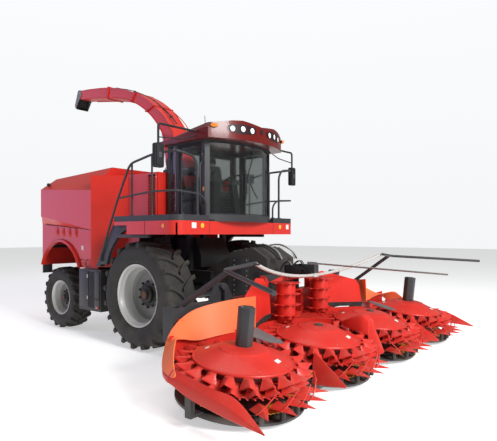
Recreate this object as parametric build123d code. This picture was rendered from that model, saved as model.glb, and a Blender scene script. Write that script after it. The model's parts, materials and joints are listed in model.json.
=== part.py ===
from build123d import *
from math import atan2, cos, degrees, hypot, pi, radians, sin
import os

# A self-propelled forage harvester with a folding four-rotor maize header.
# Millimetres. The machine faces -Y, its left side is +X and Z is up.
# Places are given from the ground under the middle of the drive axle, and save() moves each
# piece by ORIGIN_Y, so that the origin ends under the middle of the whole length.

# Whole machine
REACH_FRONT = 4300          # from the drive axle to the tip of the guide rod
REACH_REAR = 3960           # from the drive axle to the end of the spout flap
ORIGIN_Y = (REACH_FRONT - REACH_REAR) / 2
WHEELBASE = 2639
FIT = 0.3                   # gap between pieces that sit in or on each other
RUN_GAP = 5                 # running gap between pieces that move
PIN_GAP = 0.6               # gap all round a pin or a shaft in its bore

# Drive wheels
DRIVE_TRACK = 2412
DRIVE_TYRE_OD = 1746
DRIVE_TYRE_WIDTH = 600
DRIVE_FLANGE_OD = 1016
DRIVE_RIM_WIDTH = 500
DRIVE_DISC_DEPTH = 240      # from the outer flange in to the disc's face
DRIVE_HUB_OD = 330
DRIVE_STUD_CIRCLE = 425

# Steered wheels
STEER_TRACK = 2200
STEER_TYRE_OD = 1210
STEER_TYRE_WIDTH = 430
STEER_FLANGE_OD = 676
STEER_RIM_WIDTH = 358
STEER_DISC_DEPTH = 150
STEER_HUB_OD = 220
STEER_STUD_CIRCLE = 275
KINGPIN_X = 790
KINGPIN_OD = 70
TRACK_ARM = 330             # kingpin to tie rod pin
TIE_ROD_OD = 44
FLANGE_THICK = 18           # rim flange
LUG_SWEEP = 0.75            # how far a lug runs back to the shoulder, in spaces between lugs
LUG_INSET = 24              # from a tyre's side to the ends of its lugs
SPINDLE_OD = 140
HUB_COLLAR = 60             # collar behind the disc
HUB_BORE_DEPTH = 40         # how far the spindle passes the disc's face

# Chassis
BEAM_HALF_GAP = 380         # from the middle to the inner face of a beam
BEAM_WIDTH = 90
BEAM_BASE = 1040
BEAM_HEIGHT = 200
BEAM_FRONT = -700
BEAM_REAR = WHEELBASE + 421
AXLE_TUBE_OD = 320
FINAL_DRIVE_OD = 430
PIVOT_OD = 100
HITCH_BORE = 40
ENGINE_WIDTH = 860
ENGINE_LENGTH = 1500
ENGINE_HEIGHT = 1000

# Platform
DECK_HALF_WIDTH = 1528
DECK_FRONT = -1020
DECK_REAR = 500
DECK_BASE = 1853
DECK_TOP = 2060
DECK_PLATE = 30
DECK_CORNER = 170
CAP_TOP = 2150              # top of the grey cap on the deck's side parts
CAP_WIDTH = 60
SEAM_X = 840                # seam between the middle and side bands
BAND_REAR = 160             # rear end of the painted band on the sides

# Cab
CAB_HALF_WIDTH = 850
CAB_FRONT = -930
CAB_REAR = -60
CAB_FLOOR = DECK_TOP + FIT
CAB_SILL = 2170             # lower edge of the glass
CAB_EAVES = 3380            # underside of the roof
PILLAR = 70
FLOOR_PLATE = 60
GLASS = 12
SCREEN_BULGE = 250          # how far the windscreen bows forward
DOOR_REAR = -330
DOOR_GAP = 8
DOOR_FRAME = 45
DOOR_THICK = 40
DOOR_PIN_OD = 16
DOOR_PIN_X = CAB_HALF_WIDTH + 20
DOOR_PIN_Y = CAB_FRONT + 35
DOOR_HINGE_RISES = (150, 950)    # lower edge of each door hinge above the door's base
ROOF_LIP = 40               # how far the roof's edge hangs below its underside
ROOF_ROWS = (
    # Y, height of the side, of the shoulder, over a lamp pod and at the middle
    (60, 3395, 3412, 3428, 3435),
    (-250, 3420, 3450, 3480, 3490),
    (-700, 3475, 3535, 3600, 3620),
    (-1050, 3500, 3585, 3665, 3690),
    (-1410, 3450, 3530, 3640, 3595),
)
POD_X = 420                 # middle of a lamp pod
ROOF_HALF_WIDTH = 960
ROOF_FRONT = -1400
ROOF_REAR = 60
LAMP_OD = 100
LAMP_POCKET = 60            # depth of the pocket behind a lamp
LAMPS = ((230, 3505), (415, 3512), (600, 3500))    # X and Z of each side's lamps
SEAT_Y = -480

# Rails, mirrors and steps
RAIL_OD = 40
POST_OD = 34
RAIL_X = DECK_HALF_WIDTH - 28
MIRROR_ARM_Z = 3460
MIRROR_X = 1715

# Hood
HOOD_FRONT = 0
HOOD_NARROW = 1010          # half width behind the cab
HOOD_CORNER = 810           # where the slanted panel starts
HOOD_WIDE_FRONT = 1300      # where the slanted panel ends
ENGINE_FRONT = HOOD_WIDE_FRONT + 150
HOOD_WIDE = 1450            # half width at the engine
HOOD_REAR = 3150
HOOD_TAIL = 3300
HOOD_FRONT_TOP = 2900
HOOD_SHEET = 30
SKIRT_HALF_WIDTH = 1305
SKIRT_BASE = 1230
SKIRT_TOP_FRONT = 1920
SKIRT_TOP_REAR = 2050
PANEL_BASE = 1270           # lower edge of the slanted panels
WHEEL_CLEAR = 55            # gap between a drive tyre and the hood behind it
BOX_FRONT = 1000            # front of the boxes between the wheels
BOX_GAP = 959               # from the boxes' rear to the steered axle
BOX_INNER = 1000
BOX_BASE = 500
GUARD_BASE = 1060           # lower edge of the tail guards, above the swing of the steered tyres
ARCH_RADIUS = 720
ARCH_Z = 985

# Crop channel and spout
CHANNEL_HALF_WIDTH = BEAM_HALF_GAP - 10
CHUTE_HALF_WIDTH = 190
CHUTE_DEPTH = 280
SPOUT_Y = 560               # slewing axis behind the drive axle
RING_OD = 640
RING_ID = 500
RING_BASE = HOOD_FRONT_TOP + FIT
RING_HEIGHT = 90
LIFT_PIN_Y = 520
LIFT_PIN_Z = 3200
SPOUT_WALL = 12
SPOUT_ROOT = 460            # width of the spout at its foot
SPOUT_TIP = 300             # width of the spout at its end
SPOUT_END = 3750
SPOUT_BACK = ((400, 3140), (440, 3560), (930, 4250), (1870, 4790), (2860, 5050), (SPOUT_END, 5170))
SPOUT_BELLY = ((SPOUT_END, 4975), (2860, 4830), (1970, 4640), (1170, 4200), (730, 3650), (690, 3140))
SPOUT_TAPER = (350, 900)    # Y between which the spout keeps its full width
FLAP_PIN = (3740, 5110)     # Y and Z of the flap's hinge
FLAP_PIN_OD = 24
SPOUT_RAM_FOOT = (860, 3110)    # Y and Z of the barrel's pin
SPOUT_RAM_HEAD = (1070, 3950)   # Y and Z of the rod's pin
SPOUT_RAM_BARREL = 560

# Header
LIFT_Y = -350               # hinge of the feeder house
LIFT_Z = 1140
TRUNNION_OD = 90
FEEDER_HALF_WIDTH = 360
LIFT_RAM_X = 430
LIFT_RAM_FOOT = (-240, 640)     # Y and Z of the barrel's pin
LIFT_RAM_HEAD = (-1560, 740)    # Y and Z of the rod's pin
LIFT_RAM_BARREL = 860
RAM_OD = 90
RAM_EAR = 50                # from a ram's axis to the inner face of an ear
RAM_EAR_THICK = 25
EYE_CLEAR = 6               # gap round a rod's pin in the ears it is coupled to
RAM_ROD_OD = 50
RAM_PIN_OD = 40
ROTOR_PITCH = 1535
ROTOR_Y = -2910
COVER_Z = 533               # edge of the cover disc above the ground
COVER_OD = 1098
COVER_RISE = 155
COVER_CAP_OD = 220
COVER_LIP = 12
HEADER_LEAN = 5.8           # the rotor axles lean forward
DRUM_CORE_OD = 1000
TOOTH_OD = 1490
TOOTH_RINGS = (
    # drop below the cover, depth of a tooth, thickness, lean of a tooth
    (45, 150, 34, 0.42),
    (125, 150, 34, 0.42),
    (210, 60, 14, 0.5),
)
TOOTH_COUNTS = (14, 14, 30)     # teeth of each ring
KNIFE_DROP = 335
KNIFE_OD = 1300
KNIFE_THICK = 10
PAN_DROP = 395
PAN_OD = 1400
PAN_PLATE = 25
STUB_OD = 110               # fixed axle of a rotor
FINGER_ANGLES = (-36, -17, 0, 17, 36)
FINGER_REACH = 905
FINGER_ROOT = 610
FINGER_Z = 212                # top of the level spikes
FINGER_THICK = 26
FINGER_WIDTH = 120
CROP_POST_TOP = 1090        # the crop posts on the outer rotors
CROP_POST_WIDTH = 190
FEED_DRUM_X = 470
FEED_DRUM_Y = -2205
FEED_DRUM_OD = 330
FEED_DRUM_BASE = 640
FEED_DRUM_TOP = 1180
FEED_PLATE_OD = 430
FRAME_FRONT = -1960
FRAME_REAR = -1780
FRAME_BASE = 560
FRAME_TOP = 980
WING_TUBE_END = 140         # how far a wing's tube reaches past its rotor's axis
WING_GAP = 12               # between the middle section and a folding wing
WING_HINGE_Z = 1170
WING_PIN_OD = 50
WALL_REACH = 807.5          # from an outer rotor's axis to the header's side
HEADER_HALF_WIDTH = 1.5 * ROTOR_PITCH + WALL_REACH
SHEET = 20
APRON_START = 700           # inner edge of the middle section's shields
APRON_ROWS = (
    # X, then Y and Z of the top, the crease and the lower edge
    (APRON_START, -1972, 1215, -2075, 1030, -2105, 700),
    (900, -1990, 1236, -2105, 1015, -2130, 690),
    (ROTOR_PITCH - 6, -2300, 1062, -2365, 985, -2420, 662),
)
WING_SHIELD = (
    # degrees from the rear towards the outside, radius and Z of the upper edge, of the lower edge
    (-61, 872, 1085, 852, 685),
    (-40, 868, 1040, 780, 640),
    (-13, 878, 963, 745, 600),
    (0, 890, 894, 732, 612),
    (18, 870, 775, 725, 672),
    (34, 850, 660, 718, 722),
    (50, 858, 503, 718, 748),
    (60, 860, 480, 752, 660),
    (70, 850, 465, 792, 550),
)
WALL_ROWS = (
    # inset and Y of the inner face, of the outer face, Z of the base, the outer top, the inner top
    (293, -2297, 261, -2259, 450, 562, 600),
    (195, -2396, 155, -2360, 425, 474, 546),
    (113, -2508, 63, -2480, 410, 450, 520),
    (60, -2600, 5, -2600, 400, 440, 478),
    (55, -2665, 3, -2665, 385, 470, 530),
    (52, -2900, 0, -2900, 310, 440, 497),
    (52, -3200, 0, -3200, 262, 380, 450),
    (90, -3440, 0, -3440, 232, 335, 400),
    (18, -3800, 2, -3800, 200, 210, 215),
)
HOOD_ROWS = (
    # Y, half width, base, shoulder and crest of the hood over the middle
    (-2860, 50, 575, 590, 615),
    (-2990, 105, 545, 610, 678),
    (-3185, 120, 520, 660, 750),
    (-3290, 95, 480, 610, 692),
)
PANEL_SEAT = 150            # underside of the dividers
WALL_PAD_Y = -2900          # where the outer wall stands on the pan's arm
NOSE_ROOT = -3290
NOSE_CREST = 512            # height of the inner dividers at their root
TIP_Z = 215
INNER_TIP_Y = -3710
CENTRE_TIP = (-3480, 280)
GUIDE_TUBE_OD = 46
GUIDE_BAR_OD = 44
GUIDE_CENTRE = (-2400, 1245)        # Y and Z of the white tube over the middle
GUIDE_JOINT = (1770, -2660, 1510)   # where the white tube meets a wing's bar
GUIDE_BEND = (2290, -2630, 1460)
GUIDE_END = (3100, -3900, 1380)
GUIDE_STRUT_FEET = (2240, 2360)     # X of the two struts on the wing's frame
GUIDE_STRUT_Y = -1900
GUIDE_ROD_Z = 1420
GUIDE_ROD_TIP_Z = 1355
GUIDE_ROD_OD = 24
CLAMP_TOP = 1275            # top of the white tube's clamp
BRACKET_TOP = 1400

SIDES = (("left", 1), ("right", -1))
PARTS = {}


# Shapes

def block(x0, x1, y0, y1, z0, z1):
    """A box between two corners."""
    return Pos((x0 + x1) / 2, (y0 + y1) / 2, (z0 + z1) / 2) * Box(x1 - x0, y1 - y0, z1 - z0)


def along_x(outline, x0, x1):
    """A (Y, Z) outline extruded from x0 to x1."""
    face = make_face(Polyline(*[(x0, y, z) for y, z in outline], close=True))
    return extrude(face, amount=x1 - x0, dir=(1, 0, 0))


def along_y(outline, y0, y1):
    """An (X, Z) outline extruded from y0 to y1."""
    face = make_face(Polyline(*[(x, y0, z) for x, z in outline], close=True))
    return extrude(face, amount=y1 - y0, dir=(0, 1, 0))


def along_z(outline, z0, z1):
    """An (X, Y) outline extruded from z0 to z1."""
    face = make_face(Polyline(*[(x, y, z0) for x, y in outline], close=True))
    return extrude(face, amount=z1 - z0, dir=(0, 0, 1))


def rod(start, end, diameter):
    """A round bar between two points."""
    a, b = Vector(*start), Vector(*end)
    plane = Plane(origin=a, z_dir=b - a)
    return extrude(plane * Circle(diameter / 2), amount=(b - a).length)


def pin_x(x, y, z, diameter, length):
    """A round bar along X, centred on a point."""
    return rod((x - length / 2, y, z), (x + length / 2, y, z), diameter)


def pin_y(x, y, z, diameter, length):
    """A round bar along Y, centred on a point."""
    return rod((x, y - length / 2, z), (x, y + length / 2, z), diameter)


def pin_z(x, y, z, diameter, length):
    """A round bar along Z, centred on a point."""
    return Pos(x, y, z) * Cylinder(diameter / 2, length)


def pipe(points, diameter, bend):
    """A round bar along a path, with each corner rounded to the bend radius."""
    path = FilletPolyline(*points, radius=bend)
    start = Vector(*points[0])
    plane = Plane(origin=start, z_dir=Vector(*points[1]) - start)
    return sweep(plane * Circle(diameter / 2), path=path)


def ruled(outlines):
    """A solid through outlines of (X, Y, Z) points with straight lines between them."""
    return loft([make_face(Polyline(*outline, close=True)) for outline in outlines], ruled=True)


def both_sides(shape):
    """The shape and its mirror image on the other side of the machine."""
    return [shape, mirror(shape, about=Plane.YZ)]


def turned(profile):
    """An (X, R) profile turned round the X axis."""
    face = make_face(Polyline(*[(x, r, 0) for x, r in profile], close=True))
    return revolve(face, axis=Axis.X)


def to_side(shape, sign):
    """A piece modelled on the left, put on the side it belongs to."""
    return shape if sign > 0 else mirror(shape, about=Plane.YZ)


def node(name, *shapes):
    """Keep one named piece; its solids do not touch each other."""
    PARTS[name] = [solid for shape in shapes for solid in shape.solids()]


# Wheels

def tread(root, tip, reach, lugs):
    """One half of a chevron tread: a lugged ring, twisted from the middle out to the shoulder."""
    outlines = []
    for x, turn in ((0, 0), (reach, LUG_SWEEP)):
        outline = []
        for i in range(lugs):
            for share, radius in ((-0.2, root), (-0.16, tip), (0.16, tip), (0.2, root)):
                angle = 2 * pi * (i + turn + share) / lugs
                outline.append((x, radius * sin(angle), radius * cos(angle)))
        outlines.append(outline)
    return ruled(outlines) - pin_x(0, 0, 0, 2 * (root - 36), 3 * reach)


def tyre(outside, width, flange, rim_width, lugs, lug_depth):
    """A carcass round the X axis, hollow inside, with a chevron tread out to its tips."""
    seat, lip = flange / 2 - 22, flange / 2
    bead = rim_width / 2 - FLANGE_THICK
    tip, half = outside / 2, width / 2
    root = tip - lug_depth
    middle = (lip + root) / 2
    outer = [(bead, seat), (bead, lip), (half, middle), (half - 10, root - 20), (half - 60, root - 5)]
    inner = [(bead - 35, seat - 10), (bead - 35, lip + 20), (half - 60, middle),
             (half - 110, root - 60)]
    carcass = turned([(-x, r) for x, r in outer] + outer[::-1])
    near = tread(root, tip, half - LUG_INSET, lugs)
    far = mirror(Rot(180 / lugs, 0, 0) * near, about=Plane.YZ)
    return carcass + near + far - turned([(-x, r) for x, r in inner] + inner[::-1])


def wheel(flange, rim_width, disc_depth, hub, stud_circle, studs):
    """A dished rim round the X axis, open outward (+X), with its hub cap and studs."""
    half = rim_width / 2
    seat = flange / 2 - 22 - FIT
    inside = seat - 12
    face = half - disc_depth
    lip = half - FLANGE_THICK + FIT
    bore = SPINDLE_OD / 2 + PIN_GAP
    bottom, top = face + HUB_BORE_DEPTH, face + 95
    profile = [(half, flange / 2), (lip, flange / 2), (lip, seat), (-lip, seat),
               (-lip, flange / 2), (-half, flange / 2), (-half, inside), (face - 22, inside),
               (face - 60, inside - 0.25 * (inside - hub / 2)), (face - 24, hub / 2 + 30),
               (face - HUB_COLLAR, hub / 2 - 10), (face - HUB_COLLAR, bore), (bottom, bore),
               (bottom, 0), (top, 0), (top, hub / 2 - 70), (top - 25, hub / 2 - 25),
               (face, hub / 2), (face, hub / 2 + 36),
               (face - 38, inside - 0.25 * (inside - hub / 2) + 12), (face, inside),
               (half, inside)]
    body = turned(profile)
    heads = [Rot(360 / studs * i, 0, 0) * pin_x(face + 8, stud_circle / 2, 0, 28, 36)
             for i in range(studs)]
    return body + heads


def wheels():
    """Four wheels, each a tyre and a rim with its hub on one body."""
    table = (
        # end, X, Y, outside, width, flange, rim width, disc depth, hub, stud circle, studs,
        # lugs on each half of the tread, depth of a lug
        ("drive", DRIVE_TRACK / 2, 0, DRIVE_TYRE_OD, DRIVE_TYRE_WIDTH, DRIVE_FLANGE_OD,
         DRIVE_RIM_WIDTH, DRIVE_DISC_DEPTH, DRIVE_HUB_OD, DRIVE_STUD_CIRCLE, 10, 20, 50),
        ("steer", STEER_TRACK / 2, WHEELBASE, STEER_TYRE_OD, STEER_TYRE_WIDTH, STEER_FLANGE_OD,
         STEER_RIM_WIDTH, STEER_DISC_DEPTH, STEER_HUB_OD, STEER_STUD_CIRCLE, 8, 18, 34),
    )
    for row in table:
        end, x, y, outside, width, flange, rim_width, depth, hub, circle, studs, lugs, high = row
        place = Pos(x, y, outside / 2)
        rubber = place * tyre(outside, width, flange, rim_width, lugs, high)
        metal = place * wheel(flange, rim_width, depth, hub, circle, studs)
        for side, sign in SIDES:
            node(f"{end}_tyre_{side}", to_side(rubber, sign))
            node(f"{end}_wheel_{side}", to_side(metal, sign))


# Chassis

def disc_face(track, rim_width, depth):
    """X of a wheel disc's outer face."""
    return track / 2 + rim_width / 2 - depth


def drive_axle():
    """Axle housing with its final drives, spindles, saddle pads and lift ram ears."""
    z = DRIVE_TYRE_OD / 2
    face = disc_face(DRIVE_TRACK, DRIVE_RIM_WIDTH, DRIVE_DISC_DEPTH)
    drum, tip = face - HUB_COLLAR - RUN_GAP, face + HUB_BORE_DEPTH - RUN_GAP
    tube, final, spindle = AXLE_TUBE_OD / 2, FINAL_DRIVE_OD / 2, SPINDLE_OD / 2
    half = Pos(0, 0, z) * turned([(0, 0), (0, tube), (700, tube), (760, final), (drum - 20, final),
                                  (drum, final - 35), (drum, spindle), (tip, spindle), (tip, 0)])
    pad = block(BEAM_HALF_GAP, BEAM_HALF_GAP + BEAM_WIDTH, -130, 130, z, BEAM_BASE - FIT)
    y, foot = LIFT_RAM_FOOT
    for inner in (LIFT_RAM_X - RAM_EAR - RAM_EAR_THICK, LIFT_RAM_X + RAM_EAR):
        pad += along_x([(-40, z), (-40, z - 60), (y + 20, foot - 45), (y - 45, foot - 45),
                        (y - 45, foot + 45), (-100, z)], inner, inner + RAM_EAR_THICK)
    pad -= pin_x(LIFT_RAM_X, y, foot, RAM_PIN_OD + 2 * PIN_GAP, 300)
    side = half + pad
    return Part() + both_sides(side)


def chassis():
    """Two long beams with cross members, axle saddles, hood outriggers and the tow hitch."""
    outer = BEAM_HALF_GAP + BEAM_WIDTH
    top = BEAM_BASE + BEAM_HEIGHT
    beam = block(BEAM_HALF_GAP, outer, BEAM_FRONT, BEAM_REAR, BEAM_BASE, top)
    beam -= pin_x(BEAM_HALF_GAP + BEAM_WIDTH / 2, LIFT_Y, LIFT_Z, TRUNNION_OD + 2 * PIN_GAP, 200)
    post = block(BEAM_HALF_GAP, outer, BEAM_REAR - 50, BEAM_REAR, top - 10, 1640)
    cross = [block(-outer, outer, y, y + 120, BEAM_BASE + 20, top - 20)
             for y in (1000, 1900, BEAM_REAR - 120)]
    saddle = [block(-BEAM_HALF_GAP - 20, BEAM_HALF_GAP + 20, y, y + 60, 720, BEAM_BASE + 40)
              for y in (WHEELBASE - 190, WHEELBASE + 130)]
    reach = SKIRT_HALF_WIDTH - HOOD_SHEET - FIT
    rigger = [block(-reach, reach, HOOD_WIDE_FRONT + 20, HOOD_WIDE_FRONT + 100, top - 10, top + 60),
              block(-reach, reach, BEAM_REAR - 50, BEAM_REAR, 1580, 1640)]
    z = BEAM_BASE + BEAM_HEIGHT / 2
    ears = [block(-70, 70, BEAM_REAR - 10, BEAM_REAR + 200, z - 60, z - 35),
            block(-70, 70, BEAM_REAR - 10, BEAM_REAR + 200, z + 35, z + 60)]
    body = Part() + both_sides(beam + post) + cross + saddle + rigger + ears
    return body - pin_z(0, BEAM_REAR + 140, z, HITCH_BORE, 200)


def steer_axle():
    """Beam on its pivot, with the forks that hold the kingpins."""
    z, y = STEER_TYRE_OD / 2, WHEELBASE
    root = KINGPIN_X - 140
    web = along_y([(-root, z - 80), (-300, z - 95), (300, z - 95), (root, z - 80), (root, z + 80),
                   (260, z + 240), (-260, z + 240), (-root, z + 80)], y - 70, y + 70)
    pivot = pin_y(0, y, z + 170, PIVOT_OD, 260 - 2 * FIT)
    fork = block(KINGPIN_X - 150, KINGPIN_X, y - 70, y + 70, z - 150, z + 150)
    fork += pin_z(KINGPIN_X, y, z, 140, 300)
    fork -= block(KINGPIN_X - 110, KINGPIN_X + 90, y - 90, y + 90, z - 110, z + 110)
    fork += pin_z(KINGPIN_X, y, z, KINGPIN_OD, 298)
    return Part() + web + pivot + both_sides(fork)


def knuckle():
    """Left knuckle: a sleeve on the kingpin, the spindle and the steering arm."""
    z, y = STEER_TYRE_OD / 2, WHEELBASE
    face = disc_face(STEER_TRACK, STEER_RIM_WIDTH, STEER_DISC_DEPTH)
    body = pin_z(KINGPIN_X, y, z, 150, 220 - 2 * RUN_GAP)
    body += rod((KINGPIN_X + 20, y, z), (face + HUB_BORE_DEPTH - RUN_GAP, y, z), SPINDLE_OD)
    body += rod((KINGPIN_X + 95, y, z), (face - HUB_COLLAR - RUN_GAP, y, z), 260)
    body += block(KINGPIN_X - 35, KINGPIN_X + 35, y - TRACK_ARM, y, z - 20, z + 20)
    body += pin_z(KINGPIN_X, y - TRACK_ARM, z, 90, 40)
    body -= pin_z(KINGPIN_X, y, z, KINGPIN_OD + 2 * PIN_GAP, 400)
    return body - pin_z(KINGPIN_X, y - TRACK_ARM, z, 30 + 2 * PIN_GAP, 60)


def tie_rod():
    """Rod between the two steering arms, with a pin into each."""
    z = STEER_TYRE_OD / 2 + 20 + RUN_GAP + TIE_ROD_OD / 2
    y = WHEELBASE - TRACK_ARM
    body = rod((-KINGPIN_X, y, z), (KINGPIN_X, y, z), TIE_ROD_OD - 4)
    for sign in (1, -1):
        body += pin_z(sign * KINGPIN_X, y, z, 68, TIE_ROD_OD)
        body += pin_z(sign * KINGPIN_X, y, z - 35, 30, 50)
    return body


def running_gear():
    node("chassis_frame", chassis())
    node("drive_axle", drive_axle())
    node("steer_axle_beam", steer_axle())
    for side, sign in SIDES:
        node(f"steering_knuckle_{side}", to_side(knuckle(), sign))
    node("tie_rod", tie_rod())
    base = BEAM_BASE + BEAM_HEIGHT + FIT
    node("engine_block", block(-ENGINE_WIDTH / 2, ENGINE_WIDTH / 2, ENGINE_FRONT,
                               ENGINE_FRONT + ENGINE_LENGTH, base, base + ENGINE_HEIGHT))


# Platform and cab

def deck():
    """Platform round the cab with its painted band, rounded at the front corners."""
    w = DECK_HALF_WIDTH
    plate = block(-w, w, DECK_FRONT, DECK_REAR, DECK_BASE, DECK_TOP)
    plate = fillet(plate.edges().filter_by(Axis.Z).group_by(Axis.Y)[0], DECK_CORNER)
    plate -= block(-w + 40, w - 40, DECK_FRONT + 40, DECK_REAR + 1, DECK_BASE - 1,
                   DECK_TOP - DECK_PLATE)
    plate -= block(-w - 1, w + 1, BAND_REAR, DECK_REAR + 1, DECK_BASE - 1, DECK_TOP - 60)
    bearer = block(BEAM_HALF_GAP, BEAM_HALF_GAP + BEAM_WIDTH, -200, -110,
                   BEAM_BASE + BEAM_HEIGHT + FIT, DECK_TOP - DECK_PLATE + 1)
    rear = block(BEAM_HALF_GAP, BEAM_HALF_GAP + BEAM_WIDTH, 300, 390,
                 BEAM_BASE + BEAM_HEIGHT + FIT, DECK_TOP - DECK_PLATE + 1)
    notch = block(-CHUTE_HALF_WIDTH - 10, CHUTE_HALF_WIDTH + 10, SPOUT_Y - CHUTE_DEPTH / 2 - 10,
                  DECK_REAR + 1, DECK_BASE - 1, DECK_TOP + 1)
    return plate + both_sides(bearer + rear) - notch


def deck_cap():
    """Raised grey edge along the front and outside of the left side part."""
    w = DECK_HALF_WIDTH
    cap = block(SEAM_X, w, DECK_FRONT, DECK_REAR, DECK_TOP + FIT, CAP_TOP)
    corner = cap.edges().filter_by(Axis.Z).group_by(Axis.Y)[0].group_by(Axis.X)[-1]
    cap = fillet(corner, DECK_CORNER)
    return cap - block(0, w - CAP_WIDTH, DECK_FRONT + CAP_WIDTH, DECK_REAR + 10, DECK_TOP - 10,
                       CAP_TOP + 10)


def cab_plan(inset, back):
    """Plan of the cab with a bowed front, pulled in by inset."""
    w, front = CAB_HALF_WIDTH - inset, CAB_FRONT + inset
    arc = ThreePointArc((-w, front), (0, front - SCREEN_BULGE), (w, front))
    rest = Polyline((w, front), (w, back), (-w, back), (-w, front))
    return make_face(Wire([arc.edge()] + rest.edges()))


def door_base():
    """Height of a door's lower edge."""
    return CAB_SILL - 40 + DOOR_GAP


def cab_shell():
    """Floor, sills, pillars and rear wall round an open inside, with the door hinges."""
    height = CAB_EAVES - CAB_FLOOR
    w, head = CAB_HALF_WIDTH, CAB_EAVES - 60
    shell = Pos(0, 0, CAB_FLOOR) * extrude(cab_plan(0, CAB_REAR), amount=height)
    shell -= Pos(0, 0, CAB_FLOOR + FLOOR_PLATE) * extrude(cab_plan(PILLAR, CAB_REAR - PILLAR),
                                                          amount=height)
    shell -= block(-w + PILLAR, w - PILLAR, CAB_FRONT - SCREEN_BULGE - 50, CAB_FRONT + 120,
                   CAB_SILL, head)
    shell -= block(-w - 10, w + 10, CAB_FRONT + PILLAR, DOOR_REAR, CAB_SILL - 40, head)
    shell -= block(-w - 10, w + 10, DOOR_REAR + PILLAR, CAB_REAR - PILLAR, CAB_SILL + 60, head)
    shell -= block(-w + 120, w - 120, CAB_REAR - PILLAR - 10, CAB_REAR + 10,
                   CAB_SILL + 500, head - 60)
    x, y = DOOR_PIN_X, DOOR_PIN_Y
    for rise in DOOR_HINGE_RISES:
        z = door_base() + rise
        knuckle = pin_z(x, y, z + 20, 34, 40) + block(w - 10, x, y - 12, y + 12, z, z + 40)
        shell += both_sides(knuckle - pin_z(x, y, z + 20, DOOR_PIN_OD + 2 * PIN_GAP, 50))
    return shell


def cab_glass():
    """Bowed windscreen, quarter lights and rear window."""
    w, head = CAB_HALF_WIDTH, CAB_EAVES - 60 - FIT
    sill = CAB_SILL + FIT
    band = (extrude(cab_plan(20, CAB_REAR), amount=head - sill)
            - extrude(cab_plan(20 + GLASS, CAB_REAR), amount=head - sill))
    front = block(-w + PILLAR + FIT, w - PILLAR - FIT, CAB_FRONT - SCREEN_BULGE - 50,
                  CAB_FRONT + 100, 0, head - sill)
    screen = Pos(0, 0, sill) * (band & front)
    quarter = block(w - 40, w - 40 + GLASS, DOOR_REAR + PILLAR + FIT, CAB_REAR - PILLAR - FIT,
                    CAB_SILL + 60 + FIT, head)
    rear = block(-w + 120 + FIT, w - 120 - FIT, CAB_REAR - 40, CAB_REAR - 40 + GLASS,
                 CAB_SILL + 500 + FIT, head - 60)
    return [screen, rear] + both_sides(quarter)


def door():
    """Left door: a frame with its handle and hinge pins, and one pane."""
    x1 = CAB_HALF_WIDTH - 5
    x0 = x1 - DOOR_THICK
    y0, y1 = CAB_FRONT + PILLAR + DOOR_GAP, DOOR_REAR - DOOR_GAP
    z0, z1 = door_base(), CAB_EAVES - 60 - DOOR_GAP
    edge = DOOR_FRAME
    frame = block(x0, x1, y0, y1, z0, z1)
    frame -= block(x0 - 10, x1 + 10, y0 + edge, y1 - edge, z0 + edge, z1 - edge)
    frame += block(x1 - 5, x1 + 40, y1 - 50, y1 - 25, z0 + 480, z0 + 660)
    for rise in DOOR_HINGE_RISES:
        z = z0 + rise + 40 + RUN_GAP
        frame += pin_z(DOOR_PIN_X, DOOR_PIN_Y, z + 20, 34, 40)
        frame += pin_z(DOOR_PIN_X, DOOR_PIN_Y, z, DOOR_PIN_OD, 76)
        frame += block(CAB_HALF_WIDTH + 3, DOOR_PIN_X + 10, DOOR_PIN_Y, y0 + 60, z, z + 40)
        frame += block(x1 - 5, DOOR_PIN_X + 10, y0 + 5, y0 + 60, z, z + 40)
    pane = block(x0 + 14, x0 + 14 + GLASS, y0 + edge + FIT, y1 - edge - FIT,
                 z0 + edge + FIT, z1 - edge - FIT)
    return frame, pane


def roof_plan():
    """Plan of the roof with its bowed front edge."""
    side, front = ROOF_HALF_WIDTH, CAB_FRONT - 180
    arc = ThreePointArc((-side, front), (0, ROOF_FRONT), (side, front))
    rest = Polyline((side, front), (side, ROOF_REAR), (-side, ROOF_REAR), (-side, front))
    return make_face(Wire([arc.edge()] + rest.edges()))


def roof_section(y, side_z, shoulder_z, pod_z, middle_z):
    """Cross section of the roof at Y, from its lip up to its crown."""
    w = ROOF_HALF_WIDTH + 1
    right = [(w, CAB_EAVES - ROOF_LIP), (w, side_z), (w - 60, shoulder_z), (POD_X + 190, pod_z - 22),
             (POD_X, pod_z), (POD_X - 220, (pod_z + middle_z) / 2)]
    outline = right + [(0, middle_z)] + [(-x, z) for x, z in reversed(right)]
    return make_face(Polyline(*[(x, y, z) for x, z in outline], close=True))


def roof():
    """Roof shell: thin at the rear, with a deep bowed visor that swells into two lamp pods."""
    lip, base = CAB_EAVES - ROOF_LIP, CAB_EAVES + FIT
    crown = loft([roof_section(*row) for row in ROOF_ROWS], ruled=True)
    shell = crown & Pos(0, 0, lip - 1) * extrude(roof_plan(), amount=base)
    shell -= Pos(0, 0, lip - 5) * extrude(cab_plan(-20, CAB_REAR + 20), amount=ROOF_LIP + 5 + FIT)
    for x, z in LAMPS:
        y = lamp_face(x)
        shell -= both_sides(pin_y(x, y - 100 + LAMP_POCKET, z, LAMP_OD + 6, 200))
    return shell


def lamp_face(x):
    """Y of the visor's face in front of a lamp, at the lamp's inner edge."""
    front = CAB_FRONT - 180
    share = (x + LAMP_OD / 2) / ROOF_HALF_WIDTH
    return front + (ROOF_FRONT - front) * (1 - share * share) + 8


def roof_lamps():
    """Six work lamps in the pockets of the visor."""
    lamps = []
    for x, z in LAMPS:
        back = lamp_face(x) + LAMP_POCKET - FIT
        lamp = pin_y(x, back - 25, z, LAMP_OD, 50)
        lamps += both_sides(lamp)
    return lamps


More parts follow.
